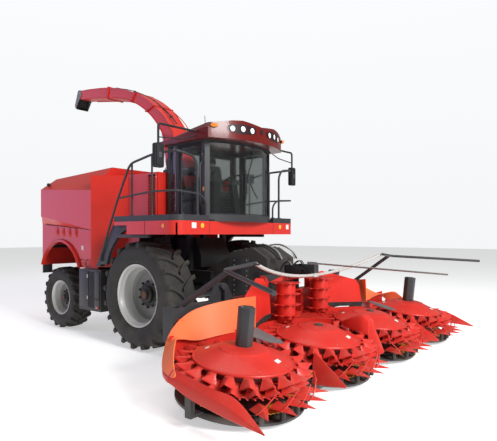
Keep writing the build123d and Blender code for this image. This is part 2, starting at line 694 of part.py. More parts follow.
def seat():
    """Driver's seat: base, cushion, back and headrest."""
    y, z = SEAT_Y, CAB_FLOOR + FLOOR_PLATE + FIT
    return (block(-160, 160, y - 120, y + 160, z, z + 380)
            + block(-250, 250, y - 200, y + 220, z + 380, z + 480)
            + along_x([(y + 220, z + 380), (y + 290, z + 1000), (y + 210, z + 1000),
                       (y + 120, z + 380)], -240, 240)
            + block(-120, 120, y + 205, y + 285, z + 990, z + 1150))


def controls():
    """Steering column with its wheel, and the armrest console."""
    z = CAB_FLOOR + FLOOR_PLATE + FIT
    y = CAB_FRONT
    column = along_x([(y + 20, z), (y + 130, z), (y + 190, z + 600), (y + 120, z + 620)], -70, 70)
    tilt = Pos(0, y + 165, z + 655) * Rot(-25, 0, 0)
    helm = tilt * (Torus(180, 14) + Box(350, 34, 20) + Pos(0, 0, -30) * Cylinder(30, 70))
    console = block(-440, -290, SEAT_Y - 260, SEAT_Y + 200, z, z + 620)
    return [column + helm, console]


def cab():
    node("platform_deck", deck())
    node("platform_caps", *both_sides(deck_cap()))
    node("cab_shell", cab_shell())
    node("cab_glass", *cab_glass())
    node("cab_roof", roof())
    node("roof_lamps", *roof_lamps())
    node("driver_seat", seat())
    node("cab_controls", *controls())
    frame, pane = door()
    for side, sign in SIDES:
        node(f"door_frame_{side}", to_side(frame, sign))
        node(f"door_glass_{side}", to_side(pane, sign))


# Rails, mirrors, steps and boxes

def handrails():
    """Round tube rails on the left and front edge of the platform."""
    foot = CAP_TOP + FIT
    side = pipe([(RAIL_X, 940, 1430), (RAIL_X, 430, 2430), (RAIL_X, 130, 2980),
                 (RAIL_X, -430, 3010), (RAIL_X, -430, foot)], RAIL_OD, 90)
    side += block(RAIL_X - RAIL_OD / 2, RAIL_X + RAIL_OD / 2, 900, 970, 1390, 1450)
    side += rod((RAIL_X, 80, foot), (RAIL_X, 80, 2980), POST_OD)
    side += rod((RAIL_X, 420, 2448), (RAIL_X, -430, 2540), POST_OD)
    y = DECK_FRONT + 35
    front = pipe([(880, y, foot), (880, y, 2900), (1090, y, 2900), (1090, y, foot)], RAIL_OD, 60)
    return both_sides(side) + both_sides(front)


def mirrors():
    """Mirror arms from the roof's sides, each with a tall mirror."""
    y = CAB_FRONT + 90
    arm = pipe([(ROOF_HALF_WIDTH + FIT, y, MIRROR_ARM_Z), (MIRROR_X, y, MIRROR_ARM_Z),
                (MIRROR_X, y, 3150)], 34, 50)
    head = block(MIRROR_X - 85, MIRROR_X + 85, y - 30, y + 30, 2820, 3170)
    return both_sides(arm + fillet(head.edges().filter_by(Axis.Y), 30))


def side_gear():
    """Dark boxes between the wheels, fenders, the left ladder and the tail guards."""
    top = SKIRT_BASE - FIT
    reach = BEAM_HALF_GAP + BEAM_WIDTH + FIT
    start, end = BOX_FRONT, WHEELBASE - BOX_GAP
    third = (end - start) / 3
    box = block(BOX_INNER, HOOD_WIDE, start, end, BOX_BASE, top)
    box += block(reach, BOX_INNER + 5, start + third / 2, end - third / 2, BEAM_BASE, BEAM_BASE + 120)
    outside = RAIL_X - RAIL_OD / 2 - FIT
    fender = along_x([(DECK_REAR + FIT, DECK_TOP), (DECK_REAR + 60, DECK_TOP),
                      (1090, 1300), (960, 1300), (DECK_REAR + FIT, 1930)],
                     outside - 70, outside)
    guard = block(SKIRT_HALF_WIDTH - 200, SKIRT_HALF_WIDTH, HOOD_TAIL - 30, HOOD_TAIL, GUARD_BASE, top)
    return [box, fender, guard]


def outfit():
    node("handrails", *handrails())
    node("mirrors", *mirrors())
    node("side_gear", *[copy for piece in side_gear() for copy in both_sides(piece)])


# Hood

def skirt_top(y):
    """Height of the joint between the hood and the skirt at Y."""
    share = (y - HOOD_WIDE_FRONT) / (HOOD_REAR - HOOD_WIDE_FRONT)
    return SKIRT_TOP_FRONT + share * (SKIRT_TOP_REAR - SKIRT_TOP_FRONT)


def hood_front():
    """Narrow housing behind the cab that opens out in slanted panels."""
    n, w, t = HOOD_NARROW, HOOD_WIDE, HOOD_SHEET
    start, end = DECK_REAR + FIT, HOOD_WIDE_FRONT
    outline = [(-n, start), (n, start), (n, HOOD_CORNER), (w, end), (-w, end), (-n, HOOD_CORNER)]
    inside = [(-n + t, start - 1), (n - t, start - 1), (n - t, HOOD_CORNER + 12),
              (w - t, end + 12), (-w + t, end + 12), (-n + t, HOOD_CORNER + 12)]
    body = along_z(outline, PANEL_BASE, HOOD_FRONT_TOP)
    body -= along_z(inside, PANEL_BASE - 1, HOOD_FRONT_TOP - t)
    front = block(-n, n, HOOD_FRONT, start + 1, DECK_TOP + FIT, HOOD_FRONT_TOP)
    front -= block(-n + t, n - t, HOOD_FRONT + t, start + 2, DECK_TOP - 1, HOOD_FRONT_TOP - t)
    clear = pin_x(1.5 * n, 0, DRIVE_TYRE_OD / 2, DRIVE_TYRE_OD + 2 * WHEEL_CLEAR, n + 240)
    return body + front - pin_z(0, SPOUT_Y, HOOD_FRONT_TOP, RING_ID, 200) - both_sides(clear)


def hood_section(y, half, low, edge, roof_half, top, inset):
    """One cross section of the rear hood at Y, pulled in by inset on every side."""
    foot, joint = SKIRT_HALF_WIDTH - inset, skirt_top(y) + FIT
    h, r = half - inset, roof_half - inset
    side = [(foot, joint), (h, max(low, joint + 2)), (h, edge), (r, top - inset)]
    outline = side + [(-x, z) for x, z in reversed(side)]
    return make_face(Polyline(*[(x, y, z) for x, z in outline], close=True))


def hood_rear():
    """Wide engine hood: vertical sides, slanted shoulders and a sloping tail."""
    t = HOOD_SHEET
    table = (
        # Y, half width, lower edge, upper edge, half width of the roof, top
        (HOOD_WIDE_FRONT + FIT, 1450, 1935, 2640, 1000, 3090),
        (HOOD_REAR, 1420, 2222, 2760, 1080, 3000),
        (HOOD_TAIL, 1330, 2260, 2600, 900, 2700),
    )
    first, middle, last = table
    outer = loft([hood_section(*row, 0) for row in table], ruled=True)
    inner_rows = ((first[0] + t,) + first[1:], middle, (last[0] - t,) + last[1:])
    inner = loft([hood_section(*row, t) for row in inner_rows], ruled=True)
    mouth = block(-1240, 1240, first[0] + 40, HOOD_REAR, SKIRT_TOP_FRONT - 20, SKIRT_TOP_REAR + 60)
    return outer - inner - mouth


def hood_skirt():
    """Lower sides with the wheel arches, and the tail panel."""
    w, t = SKIRT_HALF_WIDTH, HOOD_SHEET
    start, end = HOOD_WIDE_FRONT + FIT, HOOD_TAIL
    outline = [(start, SKIRT_BASE), (end, SKIRT_BASE), (end, skirt_top(end)),
               (start, skirt_top(start))]
    body = along_x(outline, -w, w)
    body -= block(-w + t, w - t, start - 1, end - t, SKIRT_BASE - 1, SKIRT_TOP_REAR + 100)
    return body - pin_x(0, WHEELBASE - 60, ARCH_Z, 2 * ARCH_RADIUS, 2 * w + 20)


def hood():
    node("hood_front", hood_front())
    node("hood_rear", hood_rear())
    node("hood_skirt", hood_skirt())


# Crop channel and spout

def crop_channel():
    """Chopper housing between the beams, the chute up through the hood and the fixed ring."""
    w, base = CHANNEL_HALF_WIDTH, BEAM_BASE + 20
    housing = along_x([(-380, 1290), (-380, 1480), (-250, DECK_BASE - 60),
                       (860, DECK_BASE - 60), (860, 1400), (620, base), (-230, base),
                       (-250, 1290)], -w, w)
    half = CHUTE_DEPTH / 2
    chute = block(-CHUTE_HALF_WIDTH, CHUTE_HALF_WIDTH, SPOUT_Y - half, SPOUT_Y + half,
                  DECK_BASE - 70, HOOD_FRONT_TOP - HOOD_SHEET - FIT)
    lug = pin_x(0, 600, 1140, 60, 2 * BEAM_HALF_GAP - 2 * FIT)
    ring = pin_z(0, SPOUT_Y, RING_BASE + RING_HEIGHT / 2, RING_OD, RING_HEIGHT)
    ring -= pin_z(0, SPOUT_Y, RING_BASE, RING_ID, 400)
    return [housing + chute + lug, ring]


def turntable():
    """Turning ring with two cheeks for the lift pins and ears for the spout ram."""
    base = RING_BASE + RING_HEIGHT + FIT
    body = pin_z(0, SPOUT_Y, base + 35, RING_OD - 20, 70) - pin_z(0, SPOUT_Y, base, RING_ID, 300)
    cheek = block(SPOUT_ROOT / 2 + 32, SPOUT_ROOT / 2 + 57, LIFT_PIN_Y - 110, LIFT_PIN_Y + 90,
                  base + 60, LIFT_PIN_Z + 60)
    cheek -= pin_x(SPOUT_ROOT / 2, LIFT_PIN_Y, LIFT_PIN_Z, 50 + 2 * PIN_GAP, 200)
    y, z = SPOUT_RAM_FOOT
    ear = along_x([(SPOUT_Y + 270, base), (y + 35, base), (y + 35, z + 35), (y - 35, z + 35),
                   (SPOUT_Y + 270, base + 70)], RAM_EAR, RAM_EAR + RAM_EAR_THICK)
    ear += block(0, RAM_EAR + 5, SPOUT_Y + 265, SPOUT_Y + 300, base, base + 60)
    ear -= pin_x(0, y, z, RAM_PIN_OD + 2 * PIN_GAP, 300)
    return body + both_sides(cheek) + both_sides(ear)


def spout_side(inset):
    """Side view of the bent spout, pulled in by inset, as a face in the YZ plane."""
    i = inset * 0.7
    over = 5 if inset else 0
    back = ((inset, -over), (inset, 0), (i, -i), (0, -inset), (0, -inset), (over, -inset))
    belly = ((over, inset), (0, inset), (0, inset), (-i, i), (-inset, 0), (-inset, -over))
    a, b, c, d, e, f = [(0, y + dy, z + dz) for (y, z), (dy, dz) in zip(SPOUT_BACK, back)]
    g, h, k, m, n, o = [(0, y + dy, z + dz) for (y, z), (dy, dz) in zip(SPOUT_BELLY, belly)]
    lines = [Line(a, b), ThreePointArc(b, c, d), ThreePointArc(d, e, f), Line(f, g),
             ThreePointArc(g, h, k), ThreePointArc(k, m, n), Line(n, o), Line(o, a)]
    return make_face(Wire([line.edge() for line in lines]))


def spout_solid(inset):
    """The spout's outline with sides that close in towards its end."""
    root, tip = SPOUT_ROOT / 2 - inset, SPOUT_TIP / 2 - inset
    side = extrude(spout_side(inset), amount=300, dir=(1, 0, 0), both=True)
    start, narrow = SPOUT_TAPER
    plan = along_z([(-root, start), (root, start), (root, narrow), (tip, SPOUT_END + 5),
                    (-tip, SPOUT_END + 5), (-root, narrow)], LIFT_PIN_Z - 200, FLAP_PIN[1] + 190)
    return side & plan


def spout_arm():
    """Bent square pipe with its lift pins, ram bracket and flap pins."""
    arm = spout_solid(0) - spout_solid(SPOUT_WALL)
    boss = pin_x(SPOUT_ROOT / 2 + 32, LIFT_PIN_Y, LIFT_PIN_Z, 50, 70)
    boss += pin_x(SPOUT_ROOT / 2 + 12, LIFT_PIN_Y, LIFT_PIN_Z, 110, 30)
    y, z = SPOUT_RAM_HEAD
    ear = along_x([(y - 40, z - 40), (y + 40, z - 40), (y + 70, z + 190), (y - 130, z + 30)],
                  RAM_EAR, RAM_EAR + RAM_EAR_THICK)
    ear -= pin_x(0, y, z, RAM_PIN_OD + 2 * EYE_CLEAR, 300)
    stub = pin_x(SPOUT_TIP / 2 + 10, *FLAP_PIN, FLAP_PIN_OD, 30)
    return arm + both_sides(boss) + both_sides(ear) + both_sides(stub)


def spout_flap():
    """Hood over the spout's end, on pins at its sides, that turns down to aim the crop."""
    y, z = FLAP_PIN
    inner = SPOUT_TIP / 2 + 7
    low = (SPOUT_END + 50, 4960)
    back = [(REACH_REAR, 4860), (REACH_REAR - 30, 4790)]
    cheek = along_x([(y - 40, z - 70), (y - 40, z + 50), (SPOUT_END + 7, z + 76),
                     (SPOUT_END + 80, z + 66)] + back + [low], inner, inner + 10)
    cheek -= pin_x(inner, y, z, FLAP_PIN_OD + 2 * PIN_GAP, 60)
    lid = along_x([(SPOUT_END + 7, z + 76), (SPOUT_END + 80, z + 66)] + back
                  + [(REACH_REAR - 40, 4795), (REACH_REAR - 12, 4862), (SPOUT_END + 73, z + 55),
                     (SPOUT_END + 7, z + 64)], -inner - 5, inner + 5)
    return lid + both_sides(cheek)


def ram(foot, head, barrel_length, x):
    """Barrel and rod of a hydraulic ram between two pins in a YZ plane."""
    y0, z0 = foot
    y1, z1 = head
    length = hypot(y1 - y0, z1 - z0)
    uy, uz = (y1 - y0) / length, (z1 - z0) / length
    mouth = (x, y0 + uy * barrel_length, z0 + uz * barrel_length)
    barrel = rod((x, y0 + uy * 20, z0 + uz * 20), mouth, RAM_OD)
    barrel += pin_x(x, y0, z0, RAM_OD - 30, 60)
    barrel += pin_x(x, y0, z0, RAM_PIN_OD, 2 * (RAM_EAR + RAM_EAR_THICK))
    bore_start = (x, y0 + uy * 120, z0 + uz * 120)
    bore_end = (x, mouth[1] + uy * 5, mouth[2] + uz * 5)
    barrel -= rod(bore_start, bore_end, RAM_ROD_OD + 2 * PIN_GAP)
    back = length - barrel_length + 320
    piston = rod((x, y1 - uy * back, z1 - uz * back), (x, y1 - uy * 20, z1 - uz * 20), RAM_ROD_OD)
    piston += pin_x(x, y1, z1, RAM_OD - 30, 60)
    piston += pin_x(x, y1, z1, RAM_PIN_OD, 2 * (RAM_EAR + RAM_EAR_THICK))
    return barrel, piston


def spout():
    node("crop_channel", *crop_channel())
    node("spout_turntable", turntable())
    node("spout_arm", spout_arm())
    node("spout_flap", spout_flap())
    barrel, piston = ram(SPOUT_RAM_FOOT, SPOUT_RAM_HEAD, SPOUT_RAM_BARREL, 0)
    node("spout_ram_barrel", barrel)
    node("spout_ram_rod", piston)


# Header

def lean(x, drop=0.0):
    """Frame on a rotor's axle, drop below the edge of its cover disc, leaning forward."""
    return Pos(x, ROTOR_Y, COVER_Z) * Rot(HEADER_LEAN, 0, 0) * Pos(0, 0, -drop)


def disc(diameter, thickness):
    """A round plate whose top is at Z 0."""
    return Cylinder(diameter / 2, thickness, align=(Align.CENTER, Align.CENTER, Align.MAX))


def tooth_ring(outside, root, teeth, thickness, skew):
    """Flat plate whose rim is cut into teeth that lean backwards, its top at Z 0."""
    outline = []
    for i in range(teeth):
        for share, diameter in ((0, root), (skew, outside), (skew + 0.12, outside)):
            a = 2 * pi * (i + share) / teeth
            outline.append((diameter / 2 * cos(a), diameter / 2 * sin(a)))
    return along_z(outline, -thickness, 0)


def rotor():
    """Gathering drum round Z: cover disc, toothed plates on a core, bored for its axle."""
    drops = [drop + thickness for drop, depth, thickness, skew in TOOTH_RINGS]
    body = disc(DRUM_CORE_OD, max(drops))
    body += Cone(COVER_OD / 2, COVER_CAP_OD / 2, COVER_RISE - COVER_LIP,
                 align=(Align.CENTER, Align.CENTER, Align.MIN))
    body += disc(COVER_OD, COVER_LIP)
    for (drop, depth, thickness, skew), teeth in zip(TOOTH_RINGS, TOOTH_COUNTS):
        body += Pos(0, 0, -drop) * tooth_ring(TOOTH_OD, TOOTH_OD - 2 * depth, teeth, thickness, skew)
    bore = Pos(0, 0, -120) * disc(STUB_OD + 2 * PIN_GAP, 400)
    return body - bore


def crop_post():
    """Six-sided post on an outer rotor's cover."""
    height = CROP_POST_TOP - COVER_Z
    return extrude(RegularPolygon(CROP_POST_WIDTH / 2, 6), amount=height)


def knife():
    """Knife disc round Z with its toothed edge."""
    body = tooth_ring(KNIFE_OD, KNIFE_OD - 70, 12, KNIFE_THICK, 0.5)
    return body - Pos(0, 0, 5) * disc(STUB_OD + 2 * PIN_GAP, 40)


def pan(x):
    """Skid pan, fixed axle and rear carrier of one rotor."""
    depth = 60
    body = disc(PAN_OD, PAN_PLATE) + Pos(0, 0, -PAN_PLATE + 1) * disc(PAN_OD - 300, 15)
    body += Pos(0, 0, PAN_DROP - 120 - RUN_GAP) * disc(STUB_OD, PAN_DROP - 120 - RUN_GAP + 5)
    under = PAN_DROP - KNIFE_DROP - KNIFE_THICK - RUN_GAP
    body += Pos(0, 0, under) * disc(STUB_OD + 120, under + 5)
    body += block(-130, 130, 600, 1010, -PAN_PLATE - 10, depth - PAN_PLATE)
    return lean(x, PAN_DROP) * body + block(x - 130, x + 130, FRAME_FRONT, FRAME_FRONT + 120, 215,
                                            FRAME_BASE + 10)


def finger(x, angle):
    """One level spike in front of a rotor, on a foot that stands on the edge of the pan."""
    tilt = radians(HEADER_LEAN)
    foot_r = PAN_OD / 2 - 20
    pan_z = COVER_Z - PAN_DROP * cos(tilt) - foot_r * cos(radians(angle)) * sin(tilt)
    height = (FINGER_Z - 10 - pan_z) / cos(tilt)
    foot = block(-22, 22, -foot_r - 18, -foot_r + 18, FIT, height)
    side = FINGER_WIDTH / 2
    spike = along_z([(-side, -FINGER_ROOT), (0, -FINGER_REACH), (side, -FINGER_ROOT)],
                    -FINGER_THICK, 0)
    return (lean(x, PAN_DROP) * Rot(0, 0, angle) * foot
            + Pos(x, ROTOR_Y, FINGER_Z) * Rot(0, 0, angle) * spike)


def nose(x, root_y, crest_z, half, tip_x, tip_y, tip_z):
    """A crop divider that narrows from a ridged root to a point."""
    base_z = PANEL_SEAT
    shoulder = crest_z - 0.3 * (crest_z - base_z)
    root = make_face(Polyline((x - half, root_y, base_z), (x + half, root_y, base_z),
                              (x + half * 0.8, root_y, shoulder), (x, root_y, crest_z),
                              (x - half * 0.8, root_y, shoulder), close=True))
    tip = make_face(Polyline((tip_x - 8, tip_y, tip_z - 20), (tip_x + 8, tip_y, tip_z - 20),
                             (tip_x + 6, tip_y, tip_z - 8), (tip_x, tip_y, tip_z),
                             (tip_x - 6, tip_y, tip_z - 8), close=True))
    return loft([root, tip], ruled=True)


def apron():
    """Left shield of the middle section: a creased sheet with a gusset at each end."""
    outlines = []
    for x, top_y, top_z, crease_y, crease_z, toe_y, toe_z in APRON_ROWS:
        outlines.append([(x, toe_y, toe_z), (x, crease_y, crease_z), (x, top_y, top_z),
                         (x, top_y + SHEET, top_z), (x, crease_y + SHEET, crease_z - 8),
                         (x, toe_y + SHEET, toe_z)])
    body = ruled(outlines)
    back = FRAME_FRONT - FIT
    for row, step, foot in ((APRON_ROWS[0], SHEET, FRAME_TOP - 20), (APRON_ROWS[-1], -SHEET, FRAME_TOP)):
        x, top_y, top_z, crease_y, crease_z, toe_y, toe_z = row
        gusset = along_x([(toe_y + 2, toe_z), (crease_y + 2, crease_z), (top_y + 2, top_z - 2),
                          (min(back, top_y + 30), top_z - 4), (back, foot), (back, toe_z)],
                         min(x, x + step), max(x, x + step))
        body += gusset
    return body


def wing_shield():
    """Shield of the left wing, bent round its rotor and twisted over the outer wall."""
    cx, cy = 1.5 * ROTOR_PITCH, ROTOR_Y
    outlines = []
    for angle, top_r, top_z, low_r, low_z in WING_SHIELD:
        length = hypot(top_r - low_r, top_z - low_z)
        out, up = (top_z - low_z) / length * SHEET, (low_r - top_r) / length * SHEET
        corners = ((low_r, low_z), (top_r, top_z), (top_r + out, top_z + up), (low_r + out, low_z + up))
        s, c = sin(radians(angle)), cos(radians(angle))
        outlines.append([(cx + r * s, cy + r * c, z) for r, z in corners])
    return ruled(outlines)


def wing_wall():
    """Low outer wall that narrows into the outer divider."""
    outlines = []
    for inner, inner_y, outer, outer_y, base, outer_top, inner_top in WALL_ROWS:
        x0, x1 = HEADER_HALF_WIDTH - inner, HEADER_HALF_WIDTH - outer
        outlines.append([(x0, inner_y, base), (x1, outer_y, base), (x1, outer_y, outer_top),
                         (x0, inner_y, inner_top)])
    return ruled(outlines)


def wall_base(y):
    """Height of the outer wall's lower edge at Y."""
    for before, after in zip(WALL_ROWS, WALL_ROWS[1:]):
        if before[3] >= y >= after[3]:
            share = (before[3] - y) / (before[3] - after[3])
            return before[4] + share * (after[4] - before[4])


def middle_hood():
    """Rounded hood over the teeth of the middle rotors, ending in the middle divider."""
    outlines = []
    for y, half, base, shoulder, crest in HOOD_ROWS:
        outlines.append([(-half, y, base), (half, y, base), (half * 0.9, y, shoulder),
                         (half * 0.4, y, crest), (-half * 0.4, y, crest), (-half * 0.9, y, shoulder)])
    y, half, base, shoulder, crest = HOOD_ROWS[-1]
    return ruled(outlines) + nose(0, y + 1, crest, half, 0, *CENTRE_TIP)


def center_panels():
    """Red pieces of the middle section: shields, three dividers and the spikes."""
    edge = ROTOR_PITCH - WING_GAP / 2
    pieces = [apron(), nose(edge - 60, NOSE_ROOT, NOSE_CREST, 52, edge - 10, INNER_TIP_Y, TIP_Z)]
    pieces += [finger(ROTOR_PITCH / 2, angle) for angle in FINGER_ANGLES]
    return [middle_hood()] + [copy for piece in pieces for copy in both_sides(piece)]


def wing_panels():
    """Red pieces of the left wing: shield with its outer wall and divider, and the spikes."""
    cx = 1.5 * ROTOR_PITCH
    shield = wing_shield() + block(cx - 80, cx + 80, ROTOR_Y + 870, FRAME_FRONT - FIT, 800, 850)
    return [shield, wing_wall()] + [finger(cx, angle) for angle in FINGER_ANGLES]


def guide_tube():
    """White tube bowed over the middle section, with the clamp at its middle."""
    x, y, z = GUIDE_JOINT
    path = ThreePointArc((-x, y, z), (0, *GUIDE_CENTRE), (x, y, z))
    tube = sweep(Plane(origin=path @ 0, z_dir=path % 0) * Circle(GUIDE_TUBE_OD / 2), path=path)
    y, z = GUIDE_CENTRE
    clamp = block(-60, 60, y - 30, y + 30, z - 25, CLAMP_TOP)
    reach = x - 15
    return (tube & block(-reach, reach, y - 400, y + 100, z - 100, z + 400)) + clamp


def guide_rod():
    """Thin rod from the bracket to a point far ahead of the middle."""
    y = GUIDE_CENTRE[0]
    z = BRACKET_TOP + FIT
    return (rod((0, y, GUIDE_ROD_Z), (0, -REACH_FRONT, GUIDE_ROD_TIP_Z), GUIDE_ROD_OD)
            + block(-20, 20, y - 30, y + 120, z, z + 40))


def header_frame():
    """Middle section: frame tube with the crop mouth, pans, drum carriers and hinge ears."""
    half = ROTOR_PITCH - WING_GAP / 2
    w = FEEDER_HALF_WIDTH - 40
    body = block(-half, half, FRAME_FRONT, FRAME_REAR, FRAME_BASE, FRAME_TOP)
    body -= block(-w, w, FRAME_FRONT - 5, FRAME_REAR + 5, FRAME_BASE + 60, FRAME_TOP - 20)
    for sign in (1, -1):
        body += pan(sign * ROTOR_PITCH / 2)
    carrier = block(FEED_DRUM_X - 120, FEED_DRUM_X + 120, FEED_DRUM_Y - 60, FRAME_FRONT + 5,
                    FEED_DRUM_BASE - 45, FEED_DRUM_BASE - RUN_GAP)
    carrier += pin_z(FEED_DRUM_X, FEED_DRUM_Y, FEED_DRUM_BASE + 70, 70, 160)
    body += both_sides(carrier)
    seat = PANEL_SEAT - FIT
    body += both_sides(block(1300, half, NOSE_ROOT - 40, NOSE_ROOT + 100, 80, seat))
    body += block(-200, 200, NOSE_ROOT - 40, NOSE_ROOT + 100, 80, seat)
    y = GUIDE_CENTRE[0] - 30
    body += along_x([(FRAME_FRONT + 10, 1250), (FRAME_FRONT + 10, 1160), (y + 250, CLAMP_TOP + FIT),
                     (y, CLAMP_TOP + FIT), (y, BRACKET_TOP), (y + 200, BRACKET_TOP)], -60, 60)
    body += block(-640, 640, FRAME_FRONT, FRAME_FRONT + 100, 1150, 1250)
    body += both_sides(block(560, 640, FRAME_FRONT, FRAME_FRONT + 100, FRAME_TOP - 10, 1160))
    ears = hinge_ear(FRAME_FRONT, 50) + hinge_ear(FRAME_REAR - 50, 50)
    pin = pin_y(ROTOR_PITCH, (FRAME_FRONT + FRAME_REAR) / 2, WING_HINGE_Z, WING_PIN_OD,
                FRAME_REAR - FRAME_FRONT)
    return body + both_sides(ears + pin)


def hinge_ear(y, width):
    """Ear on the middle section that reaches up to the wing's hinge pin."""
    x = ROTOR_PITCH
    plate = along_y([(x - 200, FRAME_TOP - 10), (x - WING_GAP / 2, FRAME_TOP - 10),
                     (x - WING_GAP / 2, WING_HINGE_Z), (x - 60, WING_HINGE_Z + 20)], y, y + width)
    return plate + pin_y(x, y + width / 2, WING_HINGE_Z, 90, width)


def wing_frame():
    """Left folding wing: frame tube, pan of the outer rotor, hinge ear and guide bar."""
    start = ROTOR_PITCH + WING_GAP / 2
    body = block(start, 1.5 * ROTOR_PITCH + WING_TUBE_END, FRAME_FRONT, FRAME_REAR, FRAME_BASE, FRAME_TOP)
    body += pan(1.5 * ROTOR_PITCH)
    y0, y1 = FRAME_FRONT + 50 + RUN_GAP, FRAME_REAR - 50 - RUN_GAP
    ear = along_y([(start, FRAME_TOP - 10), (start + 190, FRAME_TOP - 10),
                   (ROTOR_PITCH + 60, WING_HINGE_Z + 20), (start, WING_HINGE_Z)], y0, y1)
    ear += pin_y(ROTOR_PITCH, (y0 + y1) / 2, WING_HINGE_Z, 90, y1 - y0)
    ear -= pin_y(ROTOR_PITCH, y0, WING_HINGE_Z, WING_PIN_OD + 2 * PIN_GAP, 500)
    jx, jy, jz = GUIDE_JOINT
    bx, by, bz = GUIDE_BEND
    bar = pipe([(jx + 15, jy, jz), GUIDE_BEND, GUIDE_END], GUIDE_BAR_OD, 90)
    struts = []
    for x, share in zip(GUIDE_STRUT_FEET, (0.66, 0.84)):
        joint = (jx + share * (bx - jx), jy + share * (by - jy), jz + share * (bz - jz))
        struts.append(rod((x, GUIDE_STRUT_Y, FRAME_TOP - 10), joint, GUIDE_BAR_OD - 8))
    edge = 1.5 * ROTOR_PITCH + PAN_OD / 2
    top = [(y, wall_base(y) - FIT) for y in (WALL_PAD_Y + 40, WALL_PAD_Y, WALL_PAD_Y - 40)]
    pad = block(edge - 60, HEADER_HALF_WIDTH - 3, WALL_PAD_Y - 40, WALL_PAD_Y + 40, 118, 146)
    pad += along_x([(WALL_PAD_Y - 40, 118), (WALL_PAD_Y + 40, 118)] + top,
                   HEADER_HALF_WIDTH - 57, HEADER_HALF_WIDTH - 3)
    return body + ear + bar + struts + pad


def feed_drum():
    """Left upright drum with three toothed plates."""
    height = FEED_DRUM_TOP - FEED_DRUM_BASE
    body = Cylinder(FEED_DRUM_OD / 2 - 30, height, align=(Align.CENTER, Align.CENTER, Align.MIN))
    for i in range(4):
        plate = tooth_ring(FEED_PLATE_OD, FEED_PLATE_OD - 110, 10, 14, 0.35)
        body += Pos(0, 0, 60 + i * (height - 80) / 3) * plate
    body -= Pos(0, 0, -1) * Cylinder(35 + PIN_GAP, 170, align=(Align.CENTER, Align.CENTER, Align.MIN))
    return Pos(FEED_DRUM_X, FEED_DRUM_Y, FEED_DRUM_BASE) * body


def feeder_house():
    """Feeder behind the header: a boxed throat on its trunnions, with the lift ram ears."""
    w = FEEDER_HALF_WIDTH
    body = along_x([(-1000, 760), (-1000, 1550), (-1500, 1640), (FRAME_REAR + FIT, 1480),
                    (FRAME_REAR + FIT, 620)], -w, w)
    body += along_x([(-1010, 800), (LIFT_Y - 60, 980), (LIFT_Y + 60, 1060), (LIFT_Y + 60, 1220),
                     (LIFT_Y - 90, 1240), (-1010, 1500)], -w + 40, w - 40)
    reach = BEAM_HALF_GAP + BEAM_WIDTH - 20
    body += pin_x(0, LIFT_Y, LIFT_Z, TRUNNION_OD, 2 * reach)
    y, z = LIFT_RAM_HEAD
    inner, outer = LIFT_RAM_X - RAM_EAR, LIFT_RAM_X + RAM_EAR
    hanger = block(w - 10, inner, y - 60, y + 60, z - 45, z + 120)
    hanger += block(outer, outer + RAM_EAR_THICK, y - 60, y + 60, z - 45, z + 120)
    hanger += block(w - 10, outer + RAM_EAR_THICK, y - 60, y + 60, z + 80, z + 120)
    body += both_sides(hanger)
    return body - pin_x(0, y, z, RAM_PIN_OD + 2 * EYE_CLEAR, 2 * outer + 100)


def header():
    node("feeder_house", feeder_house())
    barrel, piston = ram(LIFT_RAM_FOOT, LIFT_RAM_HEAD, LIFT_RAM_BARREL, LIFT_RAM_X)
    node("lift_ram_barrels", *both_sides(barrel))
    node("lift_ram_rods", *both_sides(piston))
    node("header_frame", header_frame())
    node("center_panels", *center_panels())
    for i, place in enumerate((-1.5, -0.5, 0.5, 1.5)):
        x = place * ROTOR_PITCH
        drum = rotor()
        if abs(place) > 1:
            drum += crop_post()
        node(f"rotor_drum_{i + 1}", lean(x) * drum)
        node(f"knife_disc_{i + 1}", lean(x, KNIFE_DROP) * knife())
    for side, sign in SIDES:
        node(f"feed_drum_{side}", to_side(feed_drum(), sign))
        node(f"wing_frame_{side}", to_side(wing_frame(), sign))
        node(f"wing_panels_{side}", *[to_side(piece, sign) for piece in wing_panels()])
    node("guide_tube", guide_tube())
    node("guide_rod", guide_rod())


def save():
    """Write each piece, with the origin under the middle of the whole length."""
    os.makedirs("parts", exist_ok=True)
    for name, solids in PARTS.items():
        moved = [Pos(0, ORIGIN_Y, 0) * solid for solid in solids]
        export_step(moved[0] if len(moved) == 1 else Compound(moved), f"parts/{name}.step")


wheels()
running_gear()
cab()
outfit()
hood()
spout()
header()
save()
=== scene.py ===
"""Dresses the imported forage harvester: paint, rubber, glass, toothed rotors, lamps and trim."""

import json
import math

import bmesh
import bpy
from bpy.props import FloatProperty, FloatVectorProperty, IntProperty, PointerProperty
from mathutils import Matrix, Vector


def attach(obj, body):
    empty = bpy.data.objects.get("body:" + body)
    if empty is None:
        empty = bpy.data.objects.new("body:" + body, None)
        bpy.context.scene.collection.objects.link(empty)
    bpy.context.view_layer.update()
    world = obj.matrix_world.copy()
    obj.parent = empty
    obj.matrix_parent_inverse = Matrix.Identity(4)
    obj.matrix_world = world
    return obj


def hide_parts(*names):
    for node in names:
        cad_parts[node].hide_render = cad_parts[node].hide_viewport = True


bl_info = {
    "name": "Forage harvester finish",
    "version": (1, 0, 0),
    "blender": (4, 5, 0),
    "location": "View3D > Sidebar > Harvester",
    "description": "Paint, tyres, rotors, cab fittings and trim of a forage harvester",
    "category": "Object",
}

